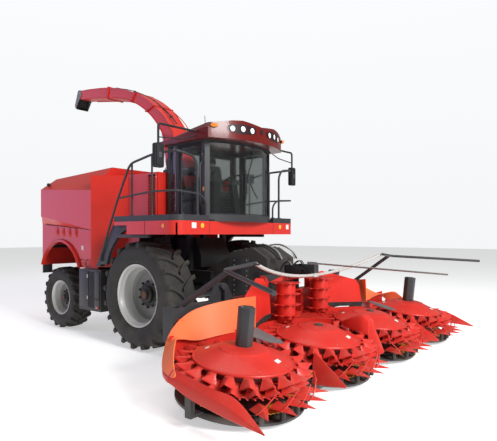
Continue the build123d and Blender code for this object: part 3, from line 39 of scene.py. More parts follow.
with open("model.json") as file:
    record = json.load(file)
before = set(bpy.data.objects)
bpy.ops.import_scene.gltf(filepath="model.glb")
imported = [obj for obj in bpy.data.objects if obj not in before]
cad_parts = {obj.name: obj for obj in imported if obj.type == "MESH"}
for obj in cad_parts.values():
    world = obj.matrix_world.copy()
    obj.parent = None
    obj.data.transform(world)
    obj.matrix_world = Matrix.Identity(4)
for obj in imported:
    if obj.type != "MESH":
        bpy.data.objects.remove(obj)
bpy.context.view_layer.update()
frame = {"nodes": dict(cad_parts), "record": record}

# Pieces are drawn in millimetres from the ground under the drive axle and are moved back by ORIGIN_Y,
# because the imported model's origin is on the ground under the middle of its length.
ORIGIN_Y = 170.0
MM = 0.001


# Sizes and colours


def colour(name, description, value):
    return FloatVectorProperty(name=name, description=description, default=value, size=3,
                               subtype="COLOR", min=0.0, max=1.0)


def whole(name, description, value, low, high):
    return IntProperty(name=name, description=description, default=value, min=low, max=high)


def length(name, description, value, low, high):
    return FloatProperty(name=name, description=description, default=value, min=low, max=high,
                         subtype="DISTANCE", unit="LENGTH")


class PaintColours(bpy.types.PropertyGroup):
    body_red: colour("Body red", "Lacquer of the hood, platform and cab roof", (0.58, 0.026, 0.017))
    header_red: colour("Header red", "Paint of the header's rotors and dividers", (0.58, 0.024, 0.016))
    shield_orange: colour("Shield orange", "Faded plastic of the header's shields", (0.86, 0.175, 0.060))
    dark_grey: colour("Dark grey", "Rails, posts, fenders and mirrors", (0.032, 0.033, 0.037))
    rim_silver: colour("Rim silver", "Paint of the wheel rims", (0.56, 0.56, 0.54))
    knife_yellow: colour("Knife yellow", "Yellow segments of the knife discs", (0.72, 0.33, 0.02))
    dust: colour("Dust", "Dry soil on tyres and lower faces", (0.30, 0.26, 0.20))


class MachineSizes(bpy.types.PropertyGroup):
    """Counts and sizes of the details that the operators draw"""
    gathering_teeth: whole("Gathering teeth", "Teeth on each large ring of a rotor", 20, 10, 30)
    comb_teeth: whole("Comb teeth", "Teeth on the fine comb of a rotor", 60, 20, 80)
    drive_lugs: whole("Drive tyre lugs", "Lugs on each half of a drive tyre", 20, 12, 26)
    steer_lugs: whole("Steered tyre lugs", "Lugs on each half of a steered tyre", 18, 12, 24)
    rail_radius: length("Rail radius", "Radius of the platform's long rails", 0.019, 0.012, 0.022)
    cushion_crown: length("Cushion crown", "How far the seat's pads rise", 0.012, 0.0, 0.02)
    # Emission of the work lamps' lenses: a painted glow for the daylight they gather
    painted_lens_glow: FloatProperty(name="Lamp glow", description="Light that the work lamps give off",
                             default=0.25, min=0.0, max=5.0)


def sizes():
    return bpy.context.scene.harvester_sizes


def register_groups():
    for kind in (PaintColours, MachineSizes):
        bpy.utils.register_class(kind)
    bpy.types.Scene.harvester_colours = PointerProperty(type=PaintColours)
    bpy.types.Scene.harvester_sizes = PointerProperty(type=MachineSizes)


# Shader groups and materials


class Wires:
    """Places nodes in a tree and joins them by name."""

    def __init__(self, tree):
        self.tree = tree

    def add(self, kind, inputs=None, **settings):
        made = self.tree.nodes.new(kind)
        made.location = (200 * len(self.tree.nodes), 0)
        for key, value in settings.items():
            setattr(made, key, value)
        for key, value in (inputs or {}).items():
            if isinstance(value, bpy.types.NodeSocket):
                self.tree.links.new(value, made.inputs[key])
            else:
                made.inputs[key].default_value = value
        return made

    def math(self, operation, a, b=0.0, clamp=False):
        return self.add("ShaderNodeMath", {0: a, 1: b}, operation=operation,
                        use_clamp=clamp).outputs[0]

    def mix(self, share, a, b):
        made = self.add("ShaderNodeMix", {0: share, 6: a, 7: b}, data_type="RGBA", blend_type="MIX")
        return made.outputs[2]

    def ranged(self, value, low, high):
        """The share of the way from low to high."""
        made = self.add("ShaderNodeMapRange", {"Value": value, "From Min": low, "From Max": high})
        return made.outputs[0]

    def between(self, share, low, high):
        """The value that lies at a share of the way between two."""
        made = self.add("ShaderNodeMapRange", {"Value": share, "To Min": low, "To Max": high})
        return made.outputs[0]

    def noise(self, scale, **inputs):
        """Noise in the object's own space."""
        place = self.add("ShaderNodeTexCoord")
        made = self.add("ShaderNodeTexNoise", {"Vector": place.outputs["Object"], "Scale": scale, **inputs})
        return made.outputs["Fac"]

    def group(self, name, **inputs):
        return self.add("ShaderNodeGroup", inputs, node_tree=bpy.data.node_groups[name])


def bare_nodes(owner):
    """The wires of an owner's node tree, emptied first."""
    owner.use_nodes = True
    owner.node_tree.nodes.clear()
    return Wires(owner.node_tree)


FLOAT = "NodeSocketFloat"


def shader_group(name, inputs, outputs):
    """An empty node group with numbers as named sockets, and its input and output nodes."""
    group = bpy.data.node_groups.new(name, "ShaderNodeTree")
    for label, value in inputs:
        socket = group.interface.new_socket(name=label, in_out="INPUT", socket_type=FLOAT)
        socket.default_value = value
    for label in outputs:
        group.interface.new_socket(name=label, in_out="OUTPUT", socket_type=FLOAT)
    wires = Wires(group)
    return wires, wires.add("NodeGroupInput").outputs, wires.add("NodeGroupOutput").inputs


def make_edge_wear():
    """Mask of the edges that rub first, broken up by noise."""
    w, given, out = shader_group("edge_wear", [("Width", 0.004), ("Amount", 0.5), ("Scale", 30.0)],
                                 ["Mask"])
    soft = w.add("ShaderNodeBevel", {"Radius": given["Width"]}, samples=4)
    sharp = w.add("ShaderNodeNewGeometry")
    dot = w.add("ShaderNodeVectorMath", {0: soft.outputs[0], 1: sharp.outputs["Normal"]},
                operation="DOT_PRODUCT")
    bend = w.math("MULTIPLY", w.math("SUBTRACT", 1.0, dot.outputs["Value"]), 6.0, True)
    patchy = w.ranged(w.noise(given["Scale"], Detail=4.0), 0.42, 0.62)
    mask = w.math("MULTIPLY", w.math("MULTIPLY", bend, patchy), given["Amount"], True)
    w.tree.links.new(mask, out["Mask"])


def make_settled_dust():
    """Mask of the dust that lies on level faces and is thrown up near the ground."""
    w, given, out = shader_group(
        "settled_dust", [("Level", 0.2), ("Low", 0.4), ("Reach", 1.2), ("Scale", 3.0)], ["Mask"])
    place = w.add("ShaderNodeTexCoord")
    shape = w.add("ShaderNodeNewGeometry")
    up = w.add("ShaderNodeSeparateXYZ", {0: shape.outputs["Normal"]})
    height = w.add("ShaderNodeSeparateXYZ", {0: place.outputs["Object"]})
    broken = w.ranged(w.noise(given["Scale"], Detail=6.0, Roughness=0.65), 0.35, 0.75)
    lying = w.math("MULTIPLY", w.ranged(up.outputs["Z"], 0.3, 1.0), given["Level"])
    thrown = w.math("MULTIPLY", w.ranged(height.outputs["Z"], given["Reach"], 0.0), given["Low"])
    mask = w.math("MULTIPLY", w.math("ADD", lying, thrown), broken, True)
    w.tree.links.new(mask, out["Mask"])


def make_surface_grain():
    """Slow tone changes and a fine height for orange peel, casting skin or moulded grain."""
    w, given, out = shader_group("surface_grain", [("Scale", 60.0), ("Tone scale", 2.0)],
                                 ["Tone", "Height"])
    w.tree.links.new(w.noise(given["Tone scale"], Detail=3.0), out["Tone"])
    w.tree.links.new(w.noise(given["Scale"], Detail=5.0), out["Height"])


def four(rgb):
    return (rgb[0], rgb[1], rgb[2], 1.0)


def shade(rgb, factor):
    return tuple(min(1.0, c * factor) for c in rgb)


MATERIALS = {}
WEAR_WIDTH = 0.004
DUSTY_ROUGHNESS = 0.85
COAT_ROUGHNESS = 0.08
RELIEF_DEPTH = 0.004
GLASS_GRAIN = 9.0
GLASS_HAZE = 0.08
WORN = (0.30, 0.27, 0.25)
# The cab roof's lacquer is the body red darkened to a fifth: painted shade on the roof and visor
ROOF_PAINTED_SHADE = 0.20
FINISHES = (
    # name, base colour or the property that holds it, roughness, metal, coat, specular level, dust that
    # lies on level faces, dust thrown up from the ground, its reach in metres, edge wear, colour under
    # it, scale of the grain, its height, tone changes, and sheen where there is any
    ("body_lacquer", "body_red", 0.32, 0, 0.25, 0.3, 0.1, 0.1, 1.6, 0.12, (0.25, 0.06, 0.05), 90, 0.03, 0.1),
    ("header_paint", "header_red", 0.38, 0, 0.08, 0.22, 0.08, 0.28, 0.6, 0.35, (0.32, 0.24, 0.21), 70, 0.05,
     0.14),
    ("shield_plastic", "shield_orange", 0.45, 0, 0, 0.2, 0.06, 0.12, 0.8, 0.25, (0.75, 0.42, 0.3), 120,
     0.04, 0.07),
    ("dark_enamel", "dark_grey", 0.42, 0, 0, 0.3, 0.18, 0.3, 1.2, 0.3, (0.16, 0.15, 0.14), 80, 0.05, 0.15),
    ("black_enamel", (0.01, 0.01, 0.011), 0.42, 0, 0, 0.3, 0.2, 0.3, 1.2, 0.25, (0.12, 0.11, 0.1), 80, 0.05,
     0.2),
    ("moulded_black", (0.012, 0.012, 0.013), 0.62, 0, 0, 0.3, 0.25, 0.35, 1.2, 0.1, (0.06, 0.06, 0.06), 240,
     0.12, 0.15),
    ("rim_paint", "rim_silver", 0.42, 0.15, 0.1, 0.5, 0.1, 0.15, 1.3, 0.25, (0.2, 0.17, 0.14), 60, 0.05, 0.1),
    ("disc_grey", (0.17, 0.172, 0.17), 0.45, 0.2, 0.1, 0.5, 0.25, 0.3, 1.3, 0.2, (0.2, 0.17, 0.14), 60,
     0.05, 0.12),
    ("tyre_rubber", (0.021, 0.021, 0.02), 0.72, 0, 0, 0.35, 0.16, 0.22, 2, 0.75, (0.2, 0.19, 0.175), 160,
     0.1, 0.12),
    ("cast_skin", (0.045, 0.042, 0.04), 0.62, 0.3, 0, 0.5, 0.3, 0.4, 1.2, 0.3, (0.22, 0.12, 0.06), 220,
     0.25, 0.25),
    ("rusty_steel", (0.16, 0.06, 0.024), 0.75, 0.2, 0, 0.5, 0.2, 0.3, 1.2, 0.2, WORN, 180, 0.25, 0.35),
    ("ram_chrome", (0.62, 0.62, 0.64), 0.12, 1, 0, 0.5, 0.05, 0.05, 1.2, 0, WORN, 60, 0.01, 0.05),
    ("bare_steel", (0.3, 0.29, 0.28), 0.35, 0.9, 0, 0.5, 0.1, 0.2, 1.2, 0.2, (0.12, 0.08, 0.06), 120, 0.06,
     0.15),
    ("zinc_bolt", (0.42, 0.41, 0.38), 0.4, 0.8, 0, 0.5, 0.1, 0.15, 1.2, 0.1, WORN, 160, 0.05, 0.1),
    ("knife_yellow", "knife_yellow", 0.42, 0, 0, 0.5, 0.05, 0.35, 0.5, 0.5, (0.2, 0.17, 0.14), 90, 0.08,
     0.12),
    ("white_enamel", (0.46, 0.44, 0.42), 0.4, 0, 0.2, 0.5, 0.1, 0.1, 1.2, 0.3, (0.28, 0.26, 0.25), 70, 0.04,
     0.1),
    ("blank_label", (0.7, 0.68, 0.64), 0.45, 0, 0, 0.5, 0.05, 0.08, 1.2, 0.1, WORN, 40, 0.02, 0.06),
    ("seat_cloth", (0.028, 0.029, 0.033), 0.88, 0, 0, 0.5, 0.05, 0, 1.2, 0, WORN, 420, 0.35, 0.2, 0.4),
    ("cab_lining", (0.04, 0.041, 0.044), 0.7, 0, 0, 0.5, 0.05, 0, 1.2, 0, WORN, 300, 0.1, 0.12),
    ("amber_lens", (0.75, 0.22, 0.01), 0.18, 0, 0.8, 0.5, 0.05, 0, 1.2, 0, WORN, 300, 0.12, 0.05),
    ("red_lens", (0.55, 0.02, 0.02), 0.18, 0, 0.8, 0.5, 0.05, 0, 1.2, 0, WORN, 300, 0.12, 0.05),
    ("mud_flap", (0.095, 0.082, 0.098), 0.6, 0, 0, 0.5, 0.3, 0.35, 0.9, 0.1, WORN, 90, 0.1, 0.15),
    ("mirror_silver", (0.75, 0.77, 0.78), 0.04, 1, 0, 0.5, 0.02, 0, 1.2, 0, WORN, 60, 0, 0.02),
    ("lamp_housing", (0.022, 0.004, 0.006), 0.3, 0, 0, 0.5, 0.08, 0, 1.2, 0.1, WORN, 90, 0.03, 0.1),
    ("amber_sticker", (0.85, 0.42, 0.03), 0.4, 0, 0, 0.5, 0.05, 0, 1.2, 0.1, WORN, 80, 0.02, 0.05),
    ("hose_grey", (0.26, 0.26, 0.25), 0.5, 0, 0, 0.5, 0.15, 0.1, 1.2, 0.1, WORN, 160, 0.06, 0.15),
    # near black for the seams, and for the painted shade behind the housing's grille
    ("seam_dark", (0.02, 0.006, 0.006), 0.8, 0, 0, 0.5, 0.1, 0.1, 1.2, 0, WORN, 80, 0.02, 0.1),
    ("display_glass", (0.01, 0.018, 0.024), 0.12, 0, 0, 0.5, 0.05, 0, 1.2, 0, WORN, 30, 0, 0.3),
    ("drum_shadow", (0.16, 0.01, 0.008), 0.6, 0, 0, 0.5, 0.1, 0.35, 0.6, 0.2, WORN, 80, 0.08, 0.3),
)


def finish(name, base, rough, metal=0.0, coat=0.0, specular=0.5, level=0.15, low=0.3, reach=1.2, wear=0.3,
           worn=WORN, grain=60.0, bump=0.05, tone=0.12, sheen=0.0):
    """A weathered surface: base colour with tone changes, worn edges, dust and a fine grain."""
    made = bpy.data.materials.new(name)
    w = bare_nodes(made)
    grained = w.group("surface_grain", Scale=grain)
    colour_now = w.mix(grained.outputs["Tone"], four(shade(base, 1 - tone)), four(shade(base, 1 + tone)))
    if wear > 0:
        rubbed = w.group("edge_wear", Amount=wear, Width=WEAR_WIDTH)
        colour_now = w.mix(rubbed.outputs["Mask"], colour_now, four(worn))
    settled = w.group("settled_dust", Level=level, Low=low, Reach=reach).outputs["Mask"]
    colour_now = w.mix(settled, colour_now, four(bpy.context.scene.harvester_colours.dust))
    relief = w.add("ShaderNodeBump", {"Strength": bump, "Distance": RELIEF_DEPTH,
                                      "Height": grained.outputs["Height"]})
    surface = w.add("ShaderNodeBsdfPrincipled", {
        "Base Color": colour_now, "Roughness": w.between(settled, rough, DUSTY_ROUGHNESS),
        "Metallic": metal, "Coat Weight": coat, "Coat Roughness": COAT_ROUGHNESS,
        "Specular IOR Level": specular, "Sheen Weight": sheen, "Normal": relief.outputs[0]})
    w.add("ShaderNodeOutputMaterial", {"Surface": surface.outputs[0]})
    MATERIALS[name] = made
    return surface


def clear_glass(name, tint, rough=0.02):
    """Glazing that tints what is behind it."""
    made = bpy.data.materials.new(name)
    w = bare_nodes(made)
    film = w.group("surface_grain", Scale=GLASS_GRAIN)
    surface = w.add("ShaderNodeBsdfPrincipled", {
        "Base Color": four(tint), "Metallic": 0.0, "Transmission Weight": 1.0, "IOR": 1.45,
        "Roughness": w.between(film.outputs["Height"], rough, rough + GLASS_HAZE)})
    w.add("ShaderNodeOutputMaterial", {"Surface": surface.outputs[0]})
    MATERIALS[name] = made


def lens_with_painted_glow(name, base, painted_glow, strength):
    """A lens with a painted glow, as if lit from inside by the daylight it gathers."""
    surface = finish(name, base, rough=0.12, coat=0.6, level=0.05, low=0.0, wear=0.0, bump=0.02)
    surface.inputs["Emission Color"].default_value = four(painted_glow)
    surface.inputs["Emission Strength"].default_value = strength


def make_materials():
    make_edge_wear()
    make_settled_dust()
    make_surface_grain()
    colours = bpy.context.scene.harvester_colours
    for name, base, *values in FINISHES:
        finish(name, tuple(getattr(colours, base)) if isinstance(base, str) else base, *values)
    # body lacquer darkened for the cab roof, as painted shade
    finish("roof_lacquer_painted_shade", shade(colours.body_red, ROOF_PAINTED_SHADE), rough=0.30, coat=0.3, specular=0.3,
           level=0.12, low=0.0, wear=0.12, worn=(0.25, 0.06, 0.05), grain=90, bump=0.03, tone=0.12)
    # the work lamps' lenses get a painted glow
    lens_with_painted_glow("lamp_lens", (0.80, 0.82, 0.82), (0.9, 0.95, 1.0), sizes().painted_lens_glow)
    clear_glass("cab_glazing", (0.80, 0.85, 0.83))


PAINT_OF_SLOT = {
    "red_paint": "body_lacquer", "orange_paint": "shield_plastic", "dark_paint": "dark_enamel",
    "grey_paint": "dark_enamel", "yellow_paint": "knife_yellow", "white_paint": "white_enamel",
    "rim_silver": "rim_paint", "tyre": "tyre_rubber", "cab_black": "moulded_black",
    "cab_glass": "cab_glazing", "seat_fabric": "seat_cloth", "ram_steel": "ram_chrome",
    "cast_iron": "cast_skin",
}
PAINT_OF_NODE = {
    "guide_rod": "bare_steel", "side_gear": "dark_enamel", "spout_flap": "disc_grey",
    # the cab roof takes the body lacquer darkened as painted shade
    "crop_channel": "black_enamel", "chassis_frame": "black_enamel", "cab_roof": "roof_lacquer_painted_shade",
    "feeder_house": "cast_skin",
}
PATCHES = (
    # node, paint, lowest and highest corners of the painted faces' middles, in millimetres
    ("header_frame", "header_paint", (-690, -2600, 560), (690, -1700, 1215)),
    ("platform_deck", "black_enamel", (-1600, -1200, 300), (1600, 1300, 1850)),
)


class HARVESTER_OT_paint(bpy.types.Operator):
    """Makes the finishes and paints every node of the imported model"""
    bl_idname = "harvester.paint"
    bl_label = "Paint"

    def execute(self, context):
        make_materials()
        make_repeat_trees()
        slots = {row["node"]: row["material_slot"] for row in frame["record"]["subparts"]}
        for name, piece in frame["nodes"].items():
            wanted = PAINT_OF_NODE.get(name) or PAINT_OF_SLOT[slots[name]]
            if name.startswith(("rotor_drum", "feed_drum", "knife_disc")):
                wanted = "header_paint"
            piece.data.materials.clear()
            piece.data.materials.append(MATERIALS[wanted])
        for name, paint, low, high in PATCHES:
            mesh = frame["nodes"][name].data
            mesh.materials.append(MATERIALS[paint])
            for face in mesh.polygons:
                at = face.center / MM - Vector((0, ORIGIN_Y, 0))
                if all(a <= b <= c for a, b, c in zip(low, at, high)):
                    face.material_index = 1
        return {"FINISHED"}


# Drawing kit


def shift(x, y, z):
    return Matrix.Translation((x, y, z))


def turn(degrees, axis):
    return Matrix.Rotation(math.radians(degrees), 4, axis)


# Turns a flat drawing of Y and Z to stand upright, its depth towards +X
UPRIGHT = Matrix(((0, 0, 1, 0), (1, 0, 0, 0), (0, 1, 0, 0), (0, 0, 0, 1)))


def mirrored(sign):
    """The left side's drawing as it is for 1, or its mirror image for -1."""
    return Matrix.Diagonal((sign, 1, 1, 1))


def curve_through(points, steps):
    """Points on a smooth curve through the given ones, each a tuple of any length."""
    first = [2 * a - b for a, b in zip(points[0], points[1])]
    last = [2 * a - b for a, b in zip(points[-1], points[-2])]
    around = [first] + [list(p) for p in points] + [last]
    made = []
    for i in range(1, len(around) - 2):
        for k in range(steps):
            t = k / steps
            made.append(tuple(
                0.5 * (2 * q + (r - p) * t + (2 * p - 5 * q + 4 * r - s) * t * t
                       + (3 * q - p - 3 * r + s) * t ** 3)
                for p, q, r, s in zip(*around[i - 1:i + 3])))
    return made + [tuple(points[-1])]


def rounded(points, radius, steps=5):
    """A path with its corners rounded."""
    points = [Vector(p) for p in points]
    made = [points[0]]
    for before, corner, after in zip(points, points[1:], points[2:]):
        a, b = (before - corner), (after - corner)
        reach = min(radius, a.length * 0.48, b.length * 0.48)
        start, end = corner + a.normalized() * reach, corner + b.normalized() * reach
        for k in range(steps + 1):
            t = k / steps
            made.append(start * (1 - t) ** 2 + corner * 2 * t * (1 - t) + end * t * t)
    return made + [points[-1]]


class Piece:
    """Gathers shapes, drawn in millimetres, in one mesh with a paint for each face."""

    def __init__(self, name):
        self.name, self.bm, self.paints = name, bmesh.new(), []

    def cover(self, faces, paint):
        if paint not in self.paints:
            self.paints.append(paint)
        for face in faces:
            face.material_index = self.paints.index(paint)
        return faces

    def skin(self, rings, paint, place=Matrix(), caps=True, looped=False):
        """Faces between closed rings of points, with both ends capped unless the rings loop."""
        rows = [[self.bm.verts.new(place @ Vector(p)) for p in ring] for ring in rings]
        pairs = list(zip(rows, rows[1:])) + ([(rows[-1], rows[0])] if looped else [])
        faces = []
        for one, two in pairs:
            count = len(one)
            for i in range(count):
                j = (i + 1) % count
                faces.append(self.bm.faces.new((one[i], one[j], two[j], two[i])))
        if caps and not looped:
            faces += [self.bm.faces.new(rows[0][::-1]), self.bm.faces.new(rows[-1])]
        return self.cover(faces, paint)

    def tube(self, points, radius, paint, place=Matrix(), sides=10, bend=0.0):
        """A round bar along a path."""
        path = rounded(points, bend) if bend else [Vector(p) for p in points]
        rings, side = [], None
        for i, at in enumerate(path):
            ahead = (path[min(i + 1, len(path) - 1)] - path[max(i - 1, 0)]).normalized()
            if side is None:
                side = ahead.orthogonal().normalized()
            side = (side - ahead * side.dot(ahead)).normalized()
            other = ahead.cross(side)
            rings.append([at + (side * math.cos(a) + other * math.sin(a)) * radius
                          for a in (2 * math.pi * k / sides for k in range(sides))])
        return self.skin(rings, paint, place)

    def lathe(self, profile, paint, place=Matrix(), segments=64):
        """A closed (radius, height) profile turned round Z; it may start and end on the axis."""
        angles = [2 * math.pi * k / segments for k in range(segments)]
        rows = []
        for r, h in profile:
            if r == 0:
                rows.append([self.bm.verts.new(place @ Vector((0, 0, h)))])
            else:
                rows.append([self.bm.verts.new(place @ Vector((r * math.cos(a), r * math.sin(a), h)))
                             for a in angles])
        on_axis = profile[0][0] == 0
        pairs = list(zip(rows, rows[1:])) + ([] if on_axis else [(rows[-1], rows[0])])
        faces = []
        for one, two in pairs:
            for i in range(segments):
                j = (i + 1) % segments
                if len(one) == 1:
                    corners = (one[0], two[j], two[i])
                elif len(two) == 1:
                    corners = (one[i], one[j], two[0])
                else:
                    corners = (one[i], one[j], two[j], two[i])
                faces.append(self.bm.faces.new(corners))
        return self.cover(faces, paint)

    def prism(self, outline, depth, paint, place=Matrix(), bevel=0.0, segments=2):
        """An outline in the local XY plane, given a depth along local Z, with rounded edges."""
        low = [self.bm.verts.new(place @ Vector((u, v, 0))) for u, v in outline]
        high = [self.bm.verts.new(place @ Vector((u, v, depth))) for u, v in outline]
        count = len(outline)
        faces = [self.bm.faces.new(low[::-1]), self.bm.faces.new(high)]
        faces += [self.bm.faces.new((low[i], low[(i + 1) % count], high[(i + 1) % count], high[i]))
                  for i in range(count)]
        self.cover(faces, paint)
        if bevel:
            edges = list(dict.fromkeys(edge for face in faces for edge in face.edges))
            bmesh.ops.bevel(self.bm, geom=edges, offset=bevel, segments=segments, profile=0.5,
                            affect="EDGES", clamp_overlap=True, material=-1)

    def slab(self, low, high, paint, bevel=3.0, place=Matrix()):
        """A box between two corners with rounded edges."""
        (x0, y0, z0), (x1, y1, z1) = low, high
        outline = [(x0, y0), (x1, y0), (x1, y1), (x0, y1)]
        self.prism(outline, z1 - z0, paint, place @ shift(0, 0, z0), bevel)

    def boxes(self, rows, place=Matrix()):
        """A slab for each row: lowest X, Y and Z, highest X, Y and Z, paint and bevel."""
        for x0, y0, z0, x1, y1, z1, paint, bevel in rows:
            self.slab((x0, y0, z0), (x1, y1, z1), paint, bevel, place)

    def merge(self, mesh, paint, place=Matrix()):
        """Take in a mesh made by a node tree."""
        known = set(self.bm.faces)
        mesh.transform(place)
        self.bm.from_mesh(mesh)
        self.cover([face for face in self.bm.faces if face not in known], paint)

    def ring(self, item, count, paint, place=Matrix(), start=0.0):
        """The item repeated evenly round the local Z axis."""
        self.merge(repeated(item, "repeat_round", Count=count, Turn=2 * math.pi / count,
                            Start=math.radians(start), Paint=MATERIALS[paint]), paint, place)

    def row(self, item, count, step, paint, place=Matrix()):
        """The item repeated along a line."""
        self.merge(repeated(item, "repeat_row", Count=count, Step=step, Paint=MATERIALS[paint]),
                   paint, place)

    def done(self, body, replaces=(), sharp=35.0):
        """Make the object in metres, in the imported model's place, riding on its body."""
        bmesh.ops.remove_doubles(self.bm, verts=self.bm.verts, dist=0.02)
        bmesh.ops.recalc_face_normals(self.bm, faces=self.bm.faces)
        self.bm.transform(Matrix.Scale(MM, 4) @ shift(0, ORIGIN_Y, 0))
        mesh = bpy.data.meshes.new(self.name)
        self.bm.to_mesh(mesh)
        self.bm.free()
        mesh.polygons.foreach_set("use_smooth", [True] * len(mesh.polygons))
        mesh.set_sharp_from_angle(angle=math.radians(sharp))
        for paint in self.paints:
            mesh.materials.append(MATERIALS[paint])
        made = bpy.data.objects.new(self.name, mesh)
        bpy.context.scene.collection.objects.link(made)
        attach(made, body)
        if replaces:
            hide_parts(*replaces)
        return made


def tree_with(name, inputs):
    """An empty geometry tree with named inputs and one geometry output."""
    tree = bpy.data.node_groups.new(name, "GeometryNodeTree")
    for label, kind in inputs:
        tree.interface.new_socket(name=label, in_out="INPUT", socket_type=kind)
    tree.interface.new_socket(name="Geometry", in_out="OUTPUT", socket_type="NodeSocketGeometry")
    w = Wires(tree)
    return w, w.add("NodeGroupInput"), w.add("NodeGroupOutput")


def make_repeat_trees():
    """Two trees that repeat the modified mesh: round Z, and along a line."""
    w, given, out = tree_with("repeat_round", [
        ("Geometry", "NodeSocketGeometry"), ("Count", "NodeSocketInt"), ("Turn", "NodeSocketFloat"),
        ("Start", "NodeSocketFloat"), ("Paint", "NodeSocketMaterial")])
    line = w.add("GeometryNodeMeshLine", {"Count": given.outputs["Count"], "Offset": (0, 0, 0)})
    index = w.add("GeometryNodeInputIndex")
    angle = w.math("MULTIPLY_ADD", index.outputs[0], given.outputs["Turn"])
    w.tree.links.new(given.outputs["Start"], angle.node.inputs[2])
    spin = w.add("ShaderNodeCombineXYZ", {"Z": angle})
    placed = w.add("GeometryNodeInstanceOnPoints", {
        "Points": line.outputs[0], "Instance": given.outputs["Geometry"], "Rotation": spin.outputs[0]})
    end_tree(w, placed, given, out)
    w, given, out = tree_with("repeat_row", [
        ("Geometry", "NodeSocketGeometry"), ("Count", "NodeSocketInt"), ("Step", "NodeSocketVector"),
        ("Paint", "NodeSocketMaterial")])
    line = w.add("GeometryNodeMeshLine", {"Count": given.outputs["Count"],
                                          "Offset": given.outputs["Step"]})
    placed = w.add("GeometryNodeInstanceOnPoints", {
        "Points": line.outputs[0], "Instance": given.outputs["Geometry"]})
    end_tree(w, placed, given, out)


def end_tree(w, placed, given, out):
    whole = w.add("GeometryNodeRealizeInstances", {"Geometry": placed.outputs[0]})
    painted = w.add("GeometryNodeSetMaterial", {"Geometry": whole.outputs[0],
                                                "Material": given.outputs["Paint"]})
    w.tree.links.new(painted.outputs[0], out.inputs["Geometry"])


def repeated(item, tree, **inputs):
    """Plain mesh data of the item's shapes repeated by a node tree."""
    bmesh.ops.recalc_face_normals(item.bm, faces=item.bm.faces)
    mesh = bpy.data.meshes.new(item.name)
    item.bm.to_mesh(mesh)
    holder = bpy.data.objects.new(item.name, mesh)
    bpy.context.scene.collection.objects.link(holder)
    modifier = holder.modifiers.new("repeat", "NODES")
    modifier.node_group = bpy.data.node_groups[tree]
    for socket in modifier.node_group.interface.items_tree:
        if socket.in_out == "INPUT" and socket.name in inputs:
            modifier[socket.identifier] = inputs[socket.name]
    shown = holder.evaluated_get(bpy.context.evaluated_depsgraph_get())
    made = bpy.data.meshes.new_from_object(shown)
    holder.modifiers.clear()
    bpy.data.objects.remove(holder)
    return made


# Wheels

SIDES = (("left", 1), ("right", -1))

TYRES = {
    # end: X, Y, outside radius, half width, lug depth
    "drive": (1206, 0, 873, 300, 52),
    "steer": (1100, 2639, 605, 215, 34),
}
RIMS = {
    # end: flange radius, half rim width, disc depth, hub radius, stud circle radius, studs
    "drive": (508, 250, 240, 165, 212.5, 10),
    "steer": (338, 179, 150, 110, 137.5, 8),
}
# The drive wheel's outside radius, lug depth and flange radius, which the outlines are drawn for
TREAD_RADIUS, TREAD_DEPTH, RIM_RADIUS = 873, 52, 508


def wheel_place(end, sign):
    x, y, tip = TYRES[end][:3]
    return shift(sign * x, y, tip) @ mirrored(sign) @ turn(90, "Y")


def lug(tip, half, depth, pitch):
    """One curved lug of the +Z half of the tread, its nose leading, drawn round the Z axis."""
    item = Piece("lug")
    rings = []
    sections = ((-0.04, 0.0), (0.2, 0.30), (0.45, 0.55), (0.7, 0.72), (0.88, 0.80), (0.955, 0.82))
    for place, sweep in sections:
        crown = tip - 20 * place * place
        floor = tip - depth - 12 - 46 * max(0.0, place - 0.6)
        top_w = (0.054 + 0.020 * place) * TREAD_RADIUS / tip
        low_w = (0.084 + 0.030 * place) * TREAD_RADIUS / tip
        mid = sweep * 0.9 * pitch
        rings.append([(r * math.sin(angle), r * math.cos(angle), place * half) for angle, r in (
            (mid - low_w / 2, floor), (mid - top_w / 2, crown - 3), (mid - top_w / 2 + 0.006, crown),
            (mid + top_w / 2 - 0.006, crown), (mid + top_w / 2, crown - 3), (mid + low_w / 2, floor))])
    tail = []
    for angle, r in ((-1, -66), (-0.7, -40), (-0.5, -38), (0.5, -38), (0.7, -40), (1, -66)):
        a = 0.83 * 0.9 * pitch + angle * 0.032 * TREAD_RADIUS / tip
        radius = tip + r * depth / TREAD_DEPTH - 30
        tail.append((radius * math.sin(a), radius * math.cos(a), 0.99 * half))
    item.skin(rings + [tail], "tyre_rubber")
    return item


def tyre(end, side, sign):
    """Lugged tyre: carcass with a beaded, ribbed sidewall and two rows of curved lugs."""
    tip, half, high = TYRES[end][2:]
    flange, rim = RIMS[end][:2]
    piece = Piece(f"{end}_tyre_{side}_skin")
    place = wheel_place(end, sign)
    bead, root = rim - 18, tip - high
    k = tip / TREAD_RADIUS
    side_line = [(flange - 22, bead), (flange + 1, bead), (flange + 14, bead + 14),
                 (flange + 26, bead + 30 * k), (flange + 34, half - 32), (flange + 60, half - 16),
                 (flange + 66, half - 11), (flange + 74, half - 15), (flange + 130 * k, half - 3),
                 (flange + 190 * k, half - 2), (root - 90 * k, half - 4), (root - 50 * k, half - 12),
                 (root - 26 * k, half - 34), (root - 8, half - 80), (root - 1, half * 0.45), (root, 0)]
    inner = [(root - 62, 0), (root - 62, half - 110), ((flange + root) / 2, half - 60),
             (flange + 20, bead - 35), (flange - 32, bead - 35)]
    profile = ([(r, h) for r, h in side_line] + [(r, -h) for r, h in side_line[-2::-1]]
               + [(r, -h) for r, h in inner[::-1]] + inner[1:])
    piece.lathe(profile, "tyre_rubber", place, 96)
    lugs = getattr(sizes(), f"{end}_lugs")
    near = lug(tip, half, high, 2 * math.pi / lugs)
    far_half = turn(180 / lugs, "Z") @ Matrix.Diagonal((1, 1, -1, 1))
    for row in (place, place @ far_half):
        piece.ring(near, lugs, "tyre_rubber", row)
    piece.done(f"{end}_wheel_{side}", (f"{end}_tyre_{side}",), sharp=38)


